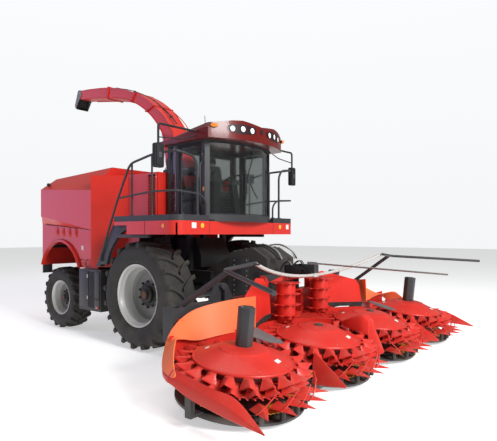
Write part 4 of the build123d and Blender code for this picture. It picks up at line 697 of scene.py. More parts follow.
def wheel(end, side, sign):
    """Stepped silver rim, dished grey disc, black hub with a rusty centre, studs and a valve."""
    flange, rim, depth, hub, circle, studs = RIMS[end]
    piece = Piece(f"{end}_wheel_{side}_skin")
    place = wheel_place(end, sign)
    face, seat = rim - depth, flange - 22.6
    k = flange / RIM_RADIUS
    rings = [(flange, rim - 3), (flange - 3, rim), (flange - 10, rim), (flange - 16, rim - 8),
             (flange - 30, rim - 22), (flange - 40, rim - 60 * k), (flange - 62 * k, rim - 90 * k),
             (flange - 66 * k, rim - 150 * k), (flange - 84 * k, face + 16), (flange - 92 * k, face),
             (flange - 92 * k, face - 20)]
    back = [(seat - 12, -rim + 2), (flange - 4, -rim), (flange, -rim + 3), (flange, -rim + 17),
            (seat, -rim + 17.6), (seat, rim - 17.6), (flange, rim - 17)]
    piece.lathe(rings + [(flange - 60 * k, face - 40)] + back, "rim_paint", place, 96)
    dish = [(flange - 90 * k, face - 2), (flange - 96 * k, face - 4), (flange - 130 * k, face - 34 * k),
            (hub + 60 * k, face - 30 * k), (hub + 42 * k, face - 2), (hub + 30 * k, face),
            (hub - 4, face), (hub - 4, face - 24), (flange - 130 * k, face - 58 * k),
            (flange - 86 * k, face - 26)]
    piece.lathe(dish, "disc_grey", place, 96)
    cap = [(0, face + 93), (hub - 92 * k, face + 93), (hub - 86 * k, face + 88),
           (hub - 84 * k, face + 66), (hub - 40 * k, face + 56), (hub - 26 * k, face + 48),
           (hub - 24 * k, face + 8), (hub + 34 * k, face + 6), (hub + 36 * k, face - 2),
           (hub, face - 60), (71, face - 60), (71, face + 38), (0, face + 38)]
    piece.lathe(cap, "black_enamel", place, 48)
    rust = [(0, face + 97), (hub - 112 * k, face + 96), (hub - 106 * k, face + 90), (0, face + 88)]
    piece.lathe(rust, "rusty_steel", place, 32)
    stud = Piece("stud")
    stud.prism(hexagon(circle, 19 * k + 3), 22, "dark_enamel", shift(0, 0, face - 1), bevel=2)
    stud.lathe([(0, face + 34), (9, face + 33), (11, face + 30), (11, face + 18), (0, face + 18)],
               "dark_enamel", shift(circle, 0, 0), 12)
    piece.ring(stud, studs, "black_enamel", place)
    piece.tube([(flange - 44, 0, face + 60), (flange - 60, 0, face + 74), (flange - 62, 0, face + 104)],
               5, "zinc_bolt", place @ turn(37, "Z"), bend=12)
    piece.done(f"{end}_wheel_{side}", (f"{end}_wheel_{side}",), sharp=30)


class HARVESTER_OT_wheels(bpy.types.Operator):
    """Builds the lugged tyres and the rims"""
    bl_idname = "harvester.wheels"
    bl_label = "Wheels"

    def execute(self, context):
        for side, sign in SIDES:
            for end in ("drive", "steer"):
                tyre(end, side, sign)
                wheel(end, side, sign)
        return {"FINISHED"}


# Header

ROTOR_PITCH = 1535.0
ROTOR_Y = -2910.0
COVER_Z = 533.0
LEAN = 5.8
RINGS = ((-18.0, 0.0), (-88.0, 5.0))     # height and first angle of each large ring of teeth
TOOTH_PRESS = (
    # share of the pitch, radius of the edge and how far it is pressed down
    (0.08, 618, 84), (0.24, 656, 62), (0.46, 738, 5), (0.50, 745, 0), (0.54, 738, 5), (0.76, 656, 62),
    (0.92, 618, 84),
)
TOOTH_LIP = 9.0
TOOTH_ROOTS = ((540, 0.45), (588, 0.62))     # radius, and width as a share of the edge's
COMB_Z = -166.0
KNIFE_Z = -335.0
WING_SHIELD = (
    # degrees from the rear towards the outside, radius and Z of the upper edge, of the lower edge
    (-61, 872, 1085, 852, 690), (-40, 868, 1040, 782, 645), (-13, 878, 963, 747, 605),
    (0, 890, 894, 732, 617), (18, 870, 775, 725, 676), (34, 850, 660, 718, 722),
    (50, 858, 503, 718, 746), (60, 860, 480, 752, 660), (69, 850, 466, 788, 560),
    (74, 842, 462, 806, 520), (76.5, 832, 474, 818, 500),
)
WALL = (
    # X from the side of the header in to the inner face, Y, X in to the outer face, Y,
    # Z of the base, of the outer top and of the inner top
    (293, -2297, 261, -2259, 450, 562, 600), (195, -2396, 155, -2360, 425, 476, 548),
    (113, -2508, 63, -2480, 410, 452, 522), (62, -2600, 5, -2600, 400, 455, 500),
    (55, -2680, 3, -2680, 382, 468, 530), (52, -2900, 0, -2900, 310, 440, 497),
    (52, -3200, 0, -3200, 262, 380, 450), (90, -3440, 0, -3440, 232, 335, 400),
    (18, -3800, 2, -3800, 200, 210, 215),
)
HEADER_SIDE = 3110.0
FRAME_FACE = -1961.0
SPIKE_ANGLES = (-36, -17, 0, 17, 36)
SPIKE_Z = 212.0
NOSE_BASE = 150.0
PLATE_RADIUS = 800
BLADE_TEETH = 7
COVER = ((0, 141), (90, 141), (170, 137), (232, 128), (262, 119), (272, 108), (282, 103), (330, 86),
         (430, 48), (508, 17), (522, 9), (531, 11), (541, 9), (547, 2), (549, -5))


def rotor_place(x, drop=0.0):
    """The frame on a rotor's axle, leaning forward."""
    return shift(x, ROTOR_Y, COVER_Z) @ turn(LEAN, "X") @ shift(0, 0, drop)


def polar(radius, degrees):
    a = math.radians(degrees)
    return radius * math.cos(a), radius * math.sin(a)


def hexagon(x, radius):
    """Corners of a hexagon whose middle is at X on the local X axis."""
    return [(x + u, v) for u, v in (polar(radius, 60 * k) for k in range(6))]


def bolt_ring(piece, circle, radius, depth, height, count, place, start):
    """Bolt heads round the local Z axis."""
    head = Piece("bolt_head")
    head.prism(hexagon(circle, radius), depth, "zinc_bolt", shift(0, 0, height), bevel=1.5, segments=1)
    piece.ring(head, count, "zinc_bolt", place, start)


def large_tooth(pitch):
    """One tooth of a gathering ring: pressed sheet that falls on both sides of a ridge, with a lip."""
    item = Piece("tooth")
    rings = []
    for share, reach, fall in TOOTH_PRESS:
        # the root is narrower than the edge, so that windows stay open between the teeth
        inner, middle, outer = (polar(r, (0.5 + (share - 0.5) * width) * pitch)
                                for r, width in TOOTH_ROOTS + ((reach, 1.0),))
        bent = polar(reach - TOOTH_LIP, share * pitch)
        h = -fall
        rings.append([(*inner, 9), (*middle, 9), (*outer, h + 6), (*outer, h - TOOTH_LIP),
                      (*bent, h - TOOTH_LIP), (*bent, h - 5), (*middle, 0), (*inner, 0)])
    item.skin(rings, "header_paint")
    return item


def small_tooth():
    item = Piece("small_tooth")
    outline = [polar(640, 0), polar(706, 2.0), polar(703, 3.0), polar(640, 3.9)]
    item.prism(outline, 7, "header_paint")
    return item


def cover_height(radius):
    """Height of the cover's skin at a radius."""
    for (r0, h0), (r1, h1) in zip(COVER, COVER[1:]):
        if r0 <= radius <= r1 and r1 > r0:
            return h0 + (h1 - h0) * (radius - r0) / (r1 - r0)
    return 0.0


def cover_label(piece, degrees, radius, width, height, place):
    """A blank label lying on the cover's cone."""
    x, y = polar(radius, degrees)
    slope = math.degrees(math.atan2(cover_height(radius - 25) - cover_height(radius + 25), 50))
    spot = (place @ shift(x, y, cover_height(radius) + 0.6) @ turn(degrees, "Z") @ turn(slope, "Y")
            @ shift(-height / 2, -width / 2, 0))
    piece.prism([(0, 0), (height, 0), (height, width), (0, width)], 1.2, "blank_label", spot)


def rotor(index):
    """Gathering rotor: cover with a rolled rim, two rings of bent teeth and a fine comb."""
    place = rotor_place((index - 2.5) * ROTOR_PITCH)
    piece = Piece(f"rotor_{index}")
    body = COVER + ((547, -12), (535, -14), (500, -14), (500, -222), (56, -222), (56, -120), (0, -120))
    piece.lathe(body, "header_paint", place, 96)
    piece.lathe([(500, -15), (501.5, -15), (501.5, -221), (500, -221)], "drum_shadow", place, 96)
    teeth = sizes().gathering_teeth
    pitch = 360 / teeth
    for height, start in RINGS:
        piece.lathe([(480, height + 8), (545, height + 8), (545, height + 1), (480, height + 1)],
                    "header_paint", place, 80)
        piece.ring(large_tooth(pitch), teeth, "header_paint", place @ shift(0, 0, height), start)
    piece.lathe([(480, COMB_Z + 7), (646, COMB_Z + 7), (646, COMB_Z), (480, COMB_Z)],
                "header_paint", place, 84)
    piece.ring(small_tooth(), sizes().comb_teeth, "header_paint", place @ shift(0, 0, COMB_Z))
    if index in (1, 4):
        piece.prism(hexagon(0, 95), 426, "dark_enamel", place @ shift(0, 0, 130), bevel=5)
    else:
        piece.lathe([(0, 156), (40, 154), (58, 149), (62, 141), (62, 138), (0, 138)],
                    "moulded_black", place, 32)
        bolt_ring(piece, 150, 8, 6, 137, 6, place, 20)
    bolt_ring(piece, 488, 7, 7, cover_height(488) - 1, 8, place, 14)
    cover_label(piece, -78, 400, 86, 52, place)
    cover_label(piece, 118, 400, 70, 44, place)
    piece.done(f"rotor_{index}", (f"rotor_drum_{index}",), sharp=28)


def knife(index):
    """Knife disc with yellow and black toothed segments bolted on a steel plate."""
    place = rotor_place((index - 2.5) * ROTOR_PITCH, KNIFE_Z)
    piece = Piece(f"knife_{index}")
    piece.lathe([(56, -2), (560, -2), (560, -9), (56, -9)], "bare_steel", place, 72)
    for start, paint in ((0, "knife_yellow"), (30, "black_enamel")):
        blade = Piece("blade")
        outline = [polar(470, 2)]
        for k in range(BLADE_TEETH):
            outline += [polar(632, 1 + 28 * k / BLADE_TEETH), polar(648, 1 + 28 * (k + 0.6) / BLADE_TEETH)]
        outline += [polar(632, 29), polar(470, 28)]
        blade.prism(outline, 7, paint, shift(0, 0, -2))
        piece.ring(blade, 6, paint, place, start)
    bolt_ring(piece, 520, 11, 9, 4, 24, place, 8)
    piece.done(f"knife_{index}", (f"knife_disc_{index}",))


def spike(piece, x, degrees, place=Matrix()):
    """One level spike with its foot on the pan and the thin rod that leads the stalks in."""
    at = place @ shift(x, ROTOR_Y, 0) @ turn(degrees, "Z")
    z = SPIKE_Z
    rings = [[(-92, -604, z - 10), (92, -604, z - 10), (90, -604, z - 2), (0, -604, z + 50),
              (-90, -604, z - 2)],
             [(-66, -700, z - 10), (66, -700, z - 10), (64, -700, z - 3), (0, -700, z + 38),
              (-64, -700, z - 3)],
             [(-3, -902, z - 9), (3, -902, z - 9), (3, -902, z - 6), (0, -904, z - 4),
              (-3, -902, z - 6)]]
    piece.skin(rings, "header_paint", at)
    piece.slab((-24, -706, 96), (24, -664, z - 9), "black_enamel", 4, at)
    piece.slab((-34, -700, z - 30), (34, -628, z - 8), "black_enamel", 4, at)
    rod = []
    for r, swing, height in ((742, 5, z - 9), (768, 3, z + 16), (772, -3, z + 90), (774, -9, z + 168)):
        u, v = polar(r, -90 + swing)
        rod.append((u, v, height))
    piece.tube(rod, 6.5, "header_paint", at, sides=6, bend=40)


def nose(piece, x, root_y, crest, half, tip, place=Matrix()):
    """A ridged crop divider that narrows to a rounded point."""
    tx, ty, tz = tip
    rows = []
    for f in (0.0, 0.3, 0.6, 0.85, 1.0):
        cx, y = x + (tx - x) * f, root_y + (ty - root_y) * f
        h = half * (1 - f) ** 0.85 + 7 * f
        low = NOSE_BASE + (tz - 22 - NOSE_BASE) * f ** 1.2
        top = crest + (tz - crest) * f
        side = top - (top - low) * 0.34
        rows.append([(cx - h, y, low), (cx + h, y, low), (cx + h * 0.86, y, side),
                     (cx + h * 0.16, y, top), (cx - h * 0.16, y, top), (cx - h * 0.86, y, side)])
    piece.skin(rows, "header_paint", place)


def wing_panels(side, sign):
    """Orange shield bent round the outer rotor, its red outer wall and divider, and the spikes."""
    piece = Piece(f"wing_panels_{side}_skin")
    place = mirrored(sign)
    cx = 1.5 * ROTOR_PITCH
    rings = []
    for angle, top_r, top_z, low_r, low_z in curve_through(WING_SHIELD, 6):
        length = math.hypot(top_r - low_r, top_z - low_z)
        up = Vector(((top_r - low_r) / length, (top_z - low_z) / length))
        out = Vector((up.y, -up.x))
        low, top = Vector((low_r, low_z)), Vector((top_r, top_z))
        corners = (low + up * 2, low + out * 4, low + out * 10 + up * 1, low + out * 13 + up * 5,
                   top + out * 13 - up * 5, top + out * 10 - up * 1, top + out * 4, top - up * 2)
        s, c = math.sin(math.radians(angle)), math.cos(math.radians(angle))
        rings.append([(cx + p.x * s, ROTOR_Y + p.x * c, p.y) for p in corners])
    piece.skin(rings, "shield_plastic", place)
    plate = []
    for angle, top_r, top_z, low_r, low_z in curve_through(WING_SHIELD[:6], 4):
        s, c = math.sin(math.radians(angle)), math.cos(math.radians(angle))
        plate.append([(cx + r * s, ROTOR_Y + r * c, z) for r, z in (
            (790, 450), (796, 450), (800, low_z + 30), (794, low_z + 30))])
    piece.skin(plate, "header_paint", place)
    rings = []
    for inner, inner_y, outer, outer_y, base, outer_top, inner_top in curve_through(WALL, 5):
        x0, x1 = HEADER_SIDE - inner, HEADER_SIDE - outer
        rings.append([(x0, inner_y, base), (x1 - 6, outer_y, base), (x1, outer_y, base + 8),
                      (x1, outer_y, outer_top - 7), (x1 - 4, outer_y, outer_top),
                      (x0 + 12, inner_y, inner_top), (x0, inner_y, inner_top - 8)])
    piece.skin(rings, "header_paint", place)
    for angle in SPIKE_ANGLES:
        spike(piece, cx, angle, place)
    piece.slab((cx - 80, -2042, 800), (cx + 80, FRAME_FACE, 850), "header_paint", 4, place)
    sheet = [(1552, -2502, 700), (1546, -2700, 642), (1548, -2880, 598), (1640, -2980, 590),
             (1760, -2860, 604), (1790, -2650, 640), (1700, -2505, 690)]
    piece.skin([sheet, [(x, y, z - 6) for x, y, z in sheet]], "mud_flap", place)
    piece.done(f"wing_{side}", (f"wing_panels_{side}",), sharp=32)


APRON = (
    # X, then Y and Z of the top, the crease and the lower edge of a middle shield
    (700, -1972, 1215, -2075, 1030, -2105, 700),
    (900, -1990, 1236, -2105, 1015, -2130, 690),
    (1200, -2140, 1155, -2232, 1000, -2270, 676),
    (1527, -2300, 1062, -2365, 985, -2420, 662),
)


def middle_panels():
    """Creased shields, back plates, dividers, the pan and hood in the middle, and the spikes."""
    piece = Piece("center_panels_skin")
    for sign in (1, -1):
        place = mirrored(sign)
        rings = []
        for x, top_y, top_z, crease_y, crease_z, toe_y, toe_z in APRON:
            rings.append([(x, toe_y, toe_z), (x, crease_y, crease_z), (x, top_y, top_z),
                          (x, top_y + 10, top_z - 4), (x, crease_y + 12, crease_z - 6),
                          (x, toe_y + 12, toe_z)])
        piece.skin(rings, "header_paint", place)
        for i, thick, foot in ((0, 14, 960), (-1, -14, 975)):
            x, top_y, top_z, crease_y, crease_z, toe_y, toe_z = APRON[i]
            outline = [(toe_y + 4, toe_z), (crease_y + 4, crease_z), (top_y + 4, top_z - 4),
                       (min(FRAME_FACE, top_y + 60), top_z - 8), (FRAME_FACE, foot), (FRAME_FACE, toe_z)]
            piece.prism(outline, thick, "header_paint", place @ shift(x, 0, 0) @ UPRIGHT)
        strip = [[(x, y - 3, z + 26), (x, y + 3, z - 42), (x, y + 9, z - 42), (x, y + 6, z + 26)]
                 for x, *_, y, z in APRON]
        for pair in zip(strip, strip[1:]):
            piece.skin(pair, "moulded_black", place)
        plate = []
        for k in range(17):
            a = math.radians(-76 + 8.5 * k)
            x, y = ROTOR_PITCH / 2 + PLATE_RADIUS * math.sin(a), ROTOR_Y + PLATE_RADIUS * math.cos(a)
            plate.append([(x, y, 450), (x, y + 7, 450), (x, y + 7, 618), (x, y, 618)])
        piece.skin(plate, "header_paint", place)
        nose(piece, 1469, -3290, 512, 52, (1519, -3710, 215), place=place)
        for angle in SPIKE_ANGLES:
            spike(piece, ROTOR_PITCH / 2, angle, place)
    rows = curve_through(((-2860, 40, 575, 588, 612), (-2990, 104, 545, 612, 680),
                          (-3185, 120, 520, 664, 748), (-3290, 95, 480, 610, 692)), 5)
    rings = [[(-h, y, low), (h, y, low), (h * 0.97, y, mid), (h * 0.7, y, mid + (top - mid) * 0.75),
              (h * 0.25, y, top), (-h * 0.25, y, top), (-h * 0.7, y, mid + (top - mid) * 0.75),
              (-h * 0.97, y, mid)] for y, h, low, mid, top in rows]
    piece.skin(rings, "header_paint")
    pan = []
    for k in range(25):
        x = -660 + 55 * k
        reach = ROTOR_PITCH / 2 - abs(x)
        y = ROTOR_Y + math.sqrt(PLATE_RADIUS ** 2 - reach ** 2)
        pan.append([(x, y, 612), (x, y, 619), (x, -2090, 619), (x, -2090, 612)])
    piece.skin(pan, "header_paint")
    nose(piece, 0, -3289, 690, 95, (0, -3480, 280))
    piece.done("header", ("center_panels",), sharp=30)


DRUM_PLACE = (470, -2205, 640)
DRUM_PLATES, DRUM_TEETH, TOOTH_STEPS = 4, 10, 6
PLATE_STEP = 153.3


def feed_drum(side, sign):
    """Upright feed drum with wavy plates and a domed top."""
    piece = Piece(f"feed_drum_{side}_skin")
    x, y, z = DRUM_PLACE
    place = shift(sign * x, y, z)
    piece.lathe([(0, 540), (40, 540), (60, 534), (132, 528), (135, 520), (135, 0), (36, 0), (36, 168),
                 (0, 168)], "header_paint", place, 48)
    outline = []
    for k in range(DRUM_TEETH * TOOTH_STEPS):
        share = k / TOOTH_STEPS
        lift = math.sin(2 * math.pi * share) * 0.5 + 0.5
        outline.append(polar(150 + 64 * lift ** 0.8, 360 * (share + 0.25 * lift) / DRUM_TEETH))
    for i in range(DRUM_PLATES):
        piece.prism(outline, 12, "header_paint", place @ shift(0, 0, 60 + i * PLATE_STEP - 13))
    piece.lathe([(0, 540), (26, 540), (26, 532), (0, 532)], "zinc_bolt", place, 12)
    piece.done(f"feed_drum_{side}", (f"feed_drum_{side}",), sharp=30)


# Feeder and header fittings

HOSES = (
    # radius, finish and the points of each hose along the feeder's top
    (13, "moulded_black", ((-250, -1200, 1588), (-256, -1400, 1672), (-285, -1620, 1676),
                           (-270, -1800, 1590), (-262, -1930, 1470))),
    (11, "moulded_black", ((-200, -1210, 1588), (-208, -1430, 1680), (-235, -1640, 1684),
                           (-225, -1820, 1600), (-218, -1930, 1470))),
    (11, "hose_grey", ((-150, -1200, 1586), (-160, -1390, 1668), (-180, -1620, 1690),
                       (-180, -1830, 1606), (-172, -1930, 1470))),
    (12, "moulded_black", ((230, -1200, 1587), (240, -1410, 1674), (250, -1610, 1680),
                           (240, -1820, 1590), (232, -1930, 1470))),
    (10, "hose_grey", ((180, -1210, 1586), (190, -1400, 1670), (200, -1640, 1688),
                       (190, -1840, 1600), (186, -1930, 1470))),
)


def feeder_fittings():
    """Hoses, cross ribs, side plates, bolts and hub caps on the feeder house."""
    piece = Piece("feeder_fittings")
    for radius, paint, points in HOSES:
        piece.tube(curve_through(points, 5), radius, paint, sides=8)
    rib = Piece("feeder_rib")
    rib.slab((-340, -1450, 1622), (340, -1424, 1652), "dark_enamel", 4)
    piece.row(rib, 4, (0, 118, -20.5), "dark_enamel")
    for sign in (1, -1):
        place = mirrored(sign)
        piece.boxes(((361, -1420, 840, 372, -1100, 1480, "dark_enamel", 8),
                     (361, -1880, 900, 380, -1560, 1280, "dark_enamel", 10)), place)
        head = Piece("feeder_bolt")
        head.lathe([(0, 9), (9, 9), (11, 7), (11, 0), (0, 0)], "zinc_bolt",
                   shift(372, -1390, 880) @ turn(90, "Y"), 6)
        for y in (0, 260):
            piece.row(head, 8, (0, 0, 80), "zinc_bolt", place @ shift(0, y, 0))
        hub = place @ shift(372, -1720, 1090) @ turn(90, "Y")
        piece.lathe([(0, 44), (70, 44), (96, 30), (110, 20), (110, 0), (0, 0)], "cast_skin", hub, 32)
        piece.lathe([(0, 52), (30, 52), (34, 44), (0, 44)], "bare_steel", hub, 6)
    piece.done("header")


def header_fittings():
    """Bracket plates, valve blocks and hoses over the middle of the header, and a pipe on each side."""
    piece = Piece("header_fittings")
    for x in (-215, 95):
        outline = [(-2010, 1205), (-2190, 1215), (-2290, 1290), (-2290, 1330), (-2130, 1392),
                   (-1990, 1392)]
        for dx in (0, 96):
            piece.prism(outline, 14, "black_enamel", shift(x + dx, 0, 0) @ UPRIGHT, bevel=2)
        piece.slab((x + 10, -2180, 1225), (x + 100, -2050, 1330), "black_enamel", 8)
        for k in range(3):
            port = x + 30 + 26 * k
            piece.lathe([(0, 30), (10, 28), (13, 20), (13, 0), (0, 0)], "zinc_bolt",
                        shift(port, -2110, 1330), 12)
            hose = ((port, -2110, 1356), (port + 4, -2050, 1440), (x + 60 + 20 * k, -1940, 1400),
                    (x + 80, -1860, 1290))
            piece.tube(curve_through(hose, 5), 8, "moulded_black" if k != 1 else "hose_grey", sides=8)
    for sign in (1, -1):
        place = mirrored(sign)
        piece.lathe([(0, 20), (52, 20), (58, 12), (58, 0), (0, 0)], "black_enamel",
                    place @ shift(1770, -2660, 1490), 24)
        piece.slab((1200, -1995, 760), (1400, -1964, 1000), "black_enamel", 8, place)
        piece.tube([(760, -1920, 1010), (1100, -1930, 960), (1500, -1930, 930), (2100, -1950, 880)], 12,
                   "moulded_black", place, sides=8, bend=80)
    piece.done("header")


class HARVESTER_OT_header(bpy.types.Operator):
    """Builds the rotors, knives, shields, dividers and feed drums of the header"""
    bl_idname = "harvester.header"
    bl_label = "Header"

    def execute(self, context):
        for index in (1, 2, 3, 4):
            rotor(index)
            knife(index)
        for side, sign in SIDES:
            wing_panels(side, sign)
            feed_drum(side, sign)
        middle_panels()
        feeder_fittings()
        header_fittings()
        return {"FINISHED"}


# Cab and platform

# Y at the sides, how far the middle is ahead and half width of the visor, the windscreen and its seals
ROOF_BOW = (-1110.0, 290.0, 960.0)
SCREEN_BOW = (-912, 250, 850)
SEAL_BOW = (-914, 250, 850)
LAMPS = ((230, 3505), (415, 3512), (600, 3500))
PANEL_X, PANEL_Z, PANEL_HALF_LENGTH, PANEL_HALF_HEIGHT = 415, 3507, 275, 78
MIRROR = (
    # half width, Y and Z of the lowest and of the highest corner, finish and bevel of each mirror's parts
    (74, -811, 2990, -806, 3158, "mirror_silver", 2), (74, -811, 2832, -806, 2978, "mirror_silver", 2),
    (60, -885, 2850, -869, 3140, "moulded_black", 7), (30, -893, 2960, -880, 3040, "cab_lining", 5),
)
MIRROR_X = 1715
SEAT_PLACE = (-480, 2120.6)     # Y of the seat's middle and Z of the cab's floor
DECK_FACE = -1020.0
DECK_SIDE = 1528.0
RAIL_FOOT = 2150.5
RAILS = (
    # radius (0 for the long rail), bend and the points of each rail of the left side
    (0, 110, ((1500, 940, 1430), (1500, 430, 2440), (1500, 105, 2985), (1500, -441, 3078),
              (1500, -985, 3085), (1160, -985, 3045), (1065, -985, 2920), (1065, -985, RAIL_FOOT))),
    (16, 90, ((1500, 426, 2447), (1500, -441, 2512), (1500, -985, 2500), (1010, -985, 2475),
              (872, -985, 2370), (872, -985, RAIL_FOOT))),
    (16, 0, ((1500, 53, RAIL_FOOT), (1500, 53, 2998))),
    (16, 0, ((1500, -441, RAIL_FOOT), (1500, -441, 3080))),
)


def bow(x, side, ahead, half):
    """Y at X of a front that bows forward in the middle."""
    return side - ahead * (1 - (x / half) ** 2)


def lamp_panel(piece, sign):
    """Dark oval panel on the visor with three round work lamps."""
    rings = []
    for share in (-1.0, -0.94, -0.8, -0.5, 0.0, 0.5, 0.8, 0.94, 1.0):
        x = sign * (PANEL_X + PANEL_HALF_LENGTH * share)
        y = bow(x, *ROOF_BOW)
        half = PANEL_HALF_HEIGHT * math.sqrt(max(0.02, 1 - share * share)) ** 0.7
        mid = PANEL_Z - 4 * share
        rings.append([(x, y - 9, mid - half), (x, y - 9, mid + half), (x, y + 6, mid + half),
                      (x, y + 6, mid - half)])
    piece.skin(rings, "lamp_housing")
    for x, z in LAMPS:
        slope = math.degrees(math.atan2(2 * ROOF_BOW[1] * sign * x, ROOF_BOW[2] ** 2))
        place = shift(sign * x, bow(sign * x, *ROOF_BOW) - 8, z) @ turn(slope, "Z") @ turn(90, "X")
        piece.lathe([(44, -4), (56, -4), (56, 4), (53, 8), (47, 8), (44, 2)], "moulded_black",
                    place, 32)
        piece.lathe([(0, 9), (20, 8), (38, 4), (45, 0), (45, -4), (0, -4)], "lamp_lens", place, 32)
        piece.lathe([(0, 9.6), (9, 9.4), (9, 4), (0, 4)], "mirror_silver", place, 16)


def roof_fittings():
    """Lamp panels, amber lamps, gutter strips, blank badge, aerial and dome of the roof."""
    piece = Piece("roof_fittings")
    for sign in (1, -1):
        lamp_panel(piece, sign)
        at = shift(sign * 905, -1190, 3520) @ turn(sign * 50, "Z") @ turn(90, "X")
        piece.lathe([(0, 16), (24, 14), (36, 8), (40, 0), (40, -30), (0, -30)], "amber_lens",
                    at @ Matrix.Diagonal((1.5, 0.75, 1, 1)), 24)
        piece.slab((sign * 949 - 5, -1000, 3362), (sign * 949 + 15, 30, 3376), "moulded_black")
    badge = shift(0, bow(0, *ROOF_BOW) - 3, 3520) @ turn(90, "X") @ Matrix.Diagonal((1, 1.35, 1, 1))
    piece.lathe([(0, 14), (30, 10), (34, 0), (34, -6), (0, -6)], "moulded_black", badge, 24)
    piece.tube([(-700, -800, 3590), (-702, -790, 3760)], 5, "moulded_black", sides=8)
    piece.lathe([(0, 3640), (16, 3636), (26, 3600), (30, 3560), (0, 3560)], "moulded_black",
                shift(-700, -800, 0), 20)
    piece.lathe([(0, 3560), (46, 3556), (60, 3530), (64, 3470), (0, 3470)], "white_enamel",
                shift(380, -260, 0), 24)
    piece.done("machine")


def wiper(piece):
    """Two part wiper arm on the windscreen, its blade and its pivot."""
    for radius, arm in ((7, (40, 60, -130)), (4, (70, 84, -110))):
        piece.tube([(x, bow(x, *SCREEN_BOW) - out, z)
                    for x, (out, z) in zip(arm, ((18, 3316), (24, 3200), (22, 2730)))],
                   radius, "moulded_black", sides=6)
    blade = ((-126, 16), (-114, 16), (-118, 6), (-122, 6))
    piece.skin([[(x, bow(x, *SCREEN_BOW) - out, z) for x, out in blade] for z in (2420, 2900)],
               "moulded_black")
    piece.lathe([(0, 20), (26, 16), (30, 0), (0, 0)], "moulded_black",
                shift(50, bow(50, *SCREEN_BOW) - 8, 3318) @ turn(90, "X"), 20)


def cab_fittings():
    """Wiper, seals, grips, amber lenses, mirrors, monitor, console, joystick and instrument pod."""
    piece = Piece("cab_fittings")
    wiper(piece)
    for sign in (1, -1):
        for z in (2176, 3306):
            rings = []
            for k in range(13):
                x = sign * (770 * k / 12)
                y = bow(x, *SEAL_BOW)
                rings.append([(x, y - 16, z), (x, y - 16, z + 14), (x, y + 4, z + 14), (x, y + 4, z)])
            piece.skin(rings, "moulded_black")
        piece.slab((sign * 853 - 7, -915, 2540), (sign * 853 + 7, -893, 2600), "amber_lens", 3)
        piece.tube([(sign * 857, -880, 2300), (sign * 905, -885, 2340), (sign * 905, -885, 2960),
                    (sign * 857, -880, 3000)], 11, "dark_enamel", bend=50)
        # mirror glasses, their frame and its back
        x = sign * MIRROR_X
        piece.boxes([(x - half, y0, z0, x + half, *rest) for half, y0, z0, *rest in MIRROR])
        piece.tube([(x, -840, 3260), (sign * 1260, -838, 3300), (sign * 972, -838, 3392)], 9,
                   "moulded_black", bend=60)
        piece.tube([(x, -840, 3180), (x, -838, 3270)], 15, "moulded_black")
    # pillar monitor, its stay, the console and the joystick
    piece.slab((380, -800, 2760), (560, -770, 2930), "cab_lining", 8)
    piece.slab((392, -770, 2772), (548, -766, 2918), "display_glass", 2)
    piece.tube([(470, -790, 2760), (520, -830, 2600), (600, -850, 2500)], 12, "cab_lining", bend=40)
    piece.slab((-446, -745, 2735), (-284, -275, 2768), "cab_lining", 12)
    piece.tube([(-365, -640, 2760), (-365, -655, 2850)], 14, "moulded_black")
    piece.lathe([(0, 62), (20, 56), (28, 34), (24, 6), (14, 0), (0, 0)], "moulded_black",
                shift(-365, -656, 2846), 20)
    key = Piece("console_key")
    key.slab((-430, -560, 2766), (-400, -530, 2776), "cab_lining", 2)
    piece.row(key, 5, (0, 52, 0), "display_glass")
    # instrument pod in front of the steering wheel
    piece.slab((-110, -840, 2700), (110, -790, 2790), "cab_lining", 12)
    piece.done("machine")


CUSHION_STEPS = 24
CUSHION_SEAMS = (0.3, 0.52, 0.74)


def cushion(piece, low, high, crown, bulge, place=Matrix()):
    """A crowned pad with sewn channels across it."""
    (x0, y0, z0), (x1, y1, z1) = low, high
    across = along = CUSHION_STEPS

    def top(u, v):
        edge = (1 - abs(2 * u - 1) ** 4) * (1 - abs(2 * v - 1) ** 4)
        channel = sum(math.exp(-((v - c) / 0.02) ** 2) for c in CUSHION_SEAMS)
        return z0 + (z1 - z0) * (0.35 + 0.65 * edge ** 0.4) + crown * edge - 9 * channel * edge
    grid = []
    for i in range(across + 1):
        u = i / across
        column = []
        for k in range(along + 1):
            v = k / along
            column.append(piece.bm.verts.new(place @ Vector((
                x0 + (x1 - x0) * u + bulge * math.sin(math.pi * v) * (2 * u - 1),
                y0 + (y1 - y0) * v + bulge * math.sin(math.pi * u) * (2 * v - 1), top(u, v)))))
        grid.append(column)
    faces = [piece.bm.faces.new((grid[i][k], grid[i + 1][k], grid[i + 1][k + 1], grid[i][k + 1]))
             for i in range(across) for k in range(along)]
    rim = ([grid[i][0] for i in range(across)] + [grid[across][k] for k in range(along)]
           + [grid[i][along] for i in range(across, 0, -1)] + [grid[0][k] for k in range(along, 0, -1)])
    foot = [piece.bm.verts.new(v.co) for v in rim]
    down = (place.to_3x3() @ Vector((0, 0, 1))).normalized()
    for a, b in zip(foot, rim):
        a.co = b.co - down * (down.dot(b.co - (place @ Vector((x0, y0, z0)))))
    count = len(rim)
    faces += [piece.bm.faces.new((rim[(i + 1) % count], rim[i], foot[i], foot[(i + 1) % count]))
              for i in range(count)]
    faces.append(piece.bm.faces.new(foot))
    piece.cover(faces, "seat_cloth")


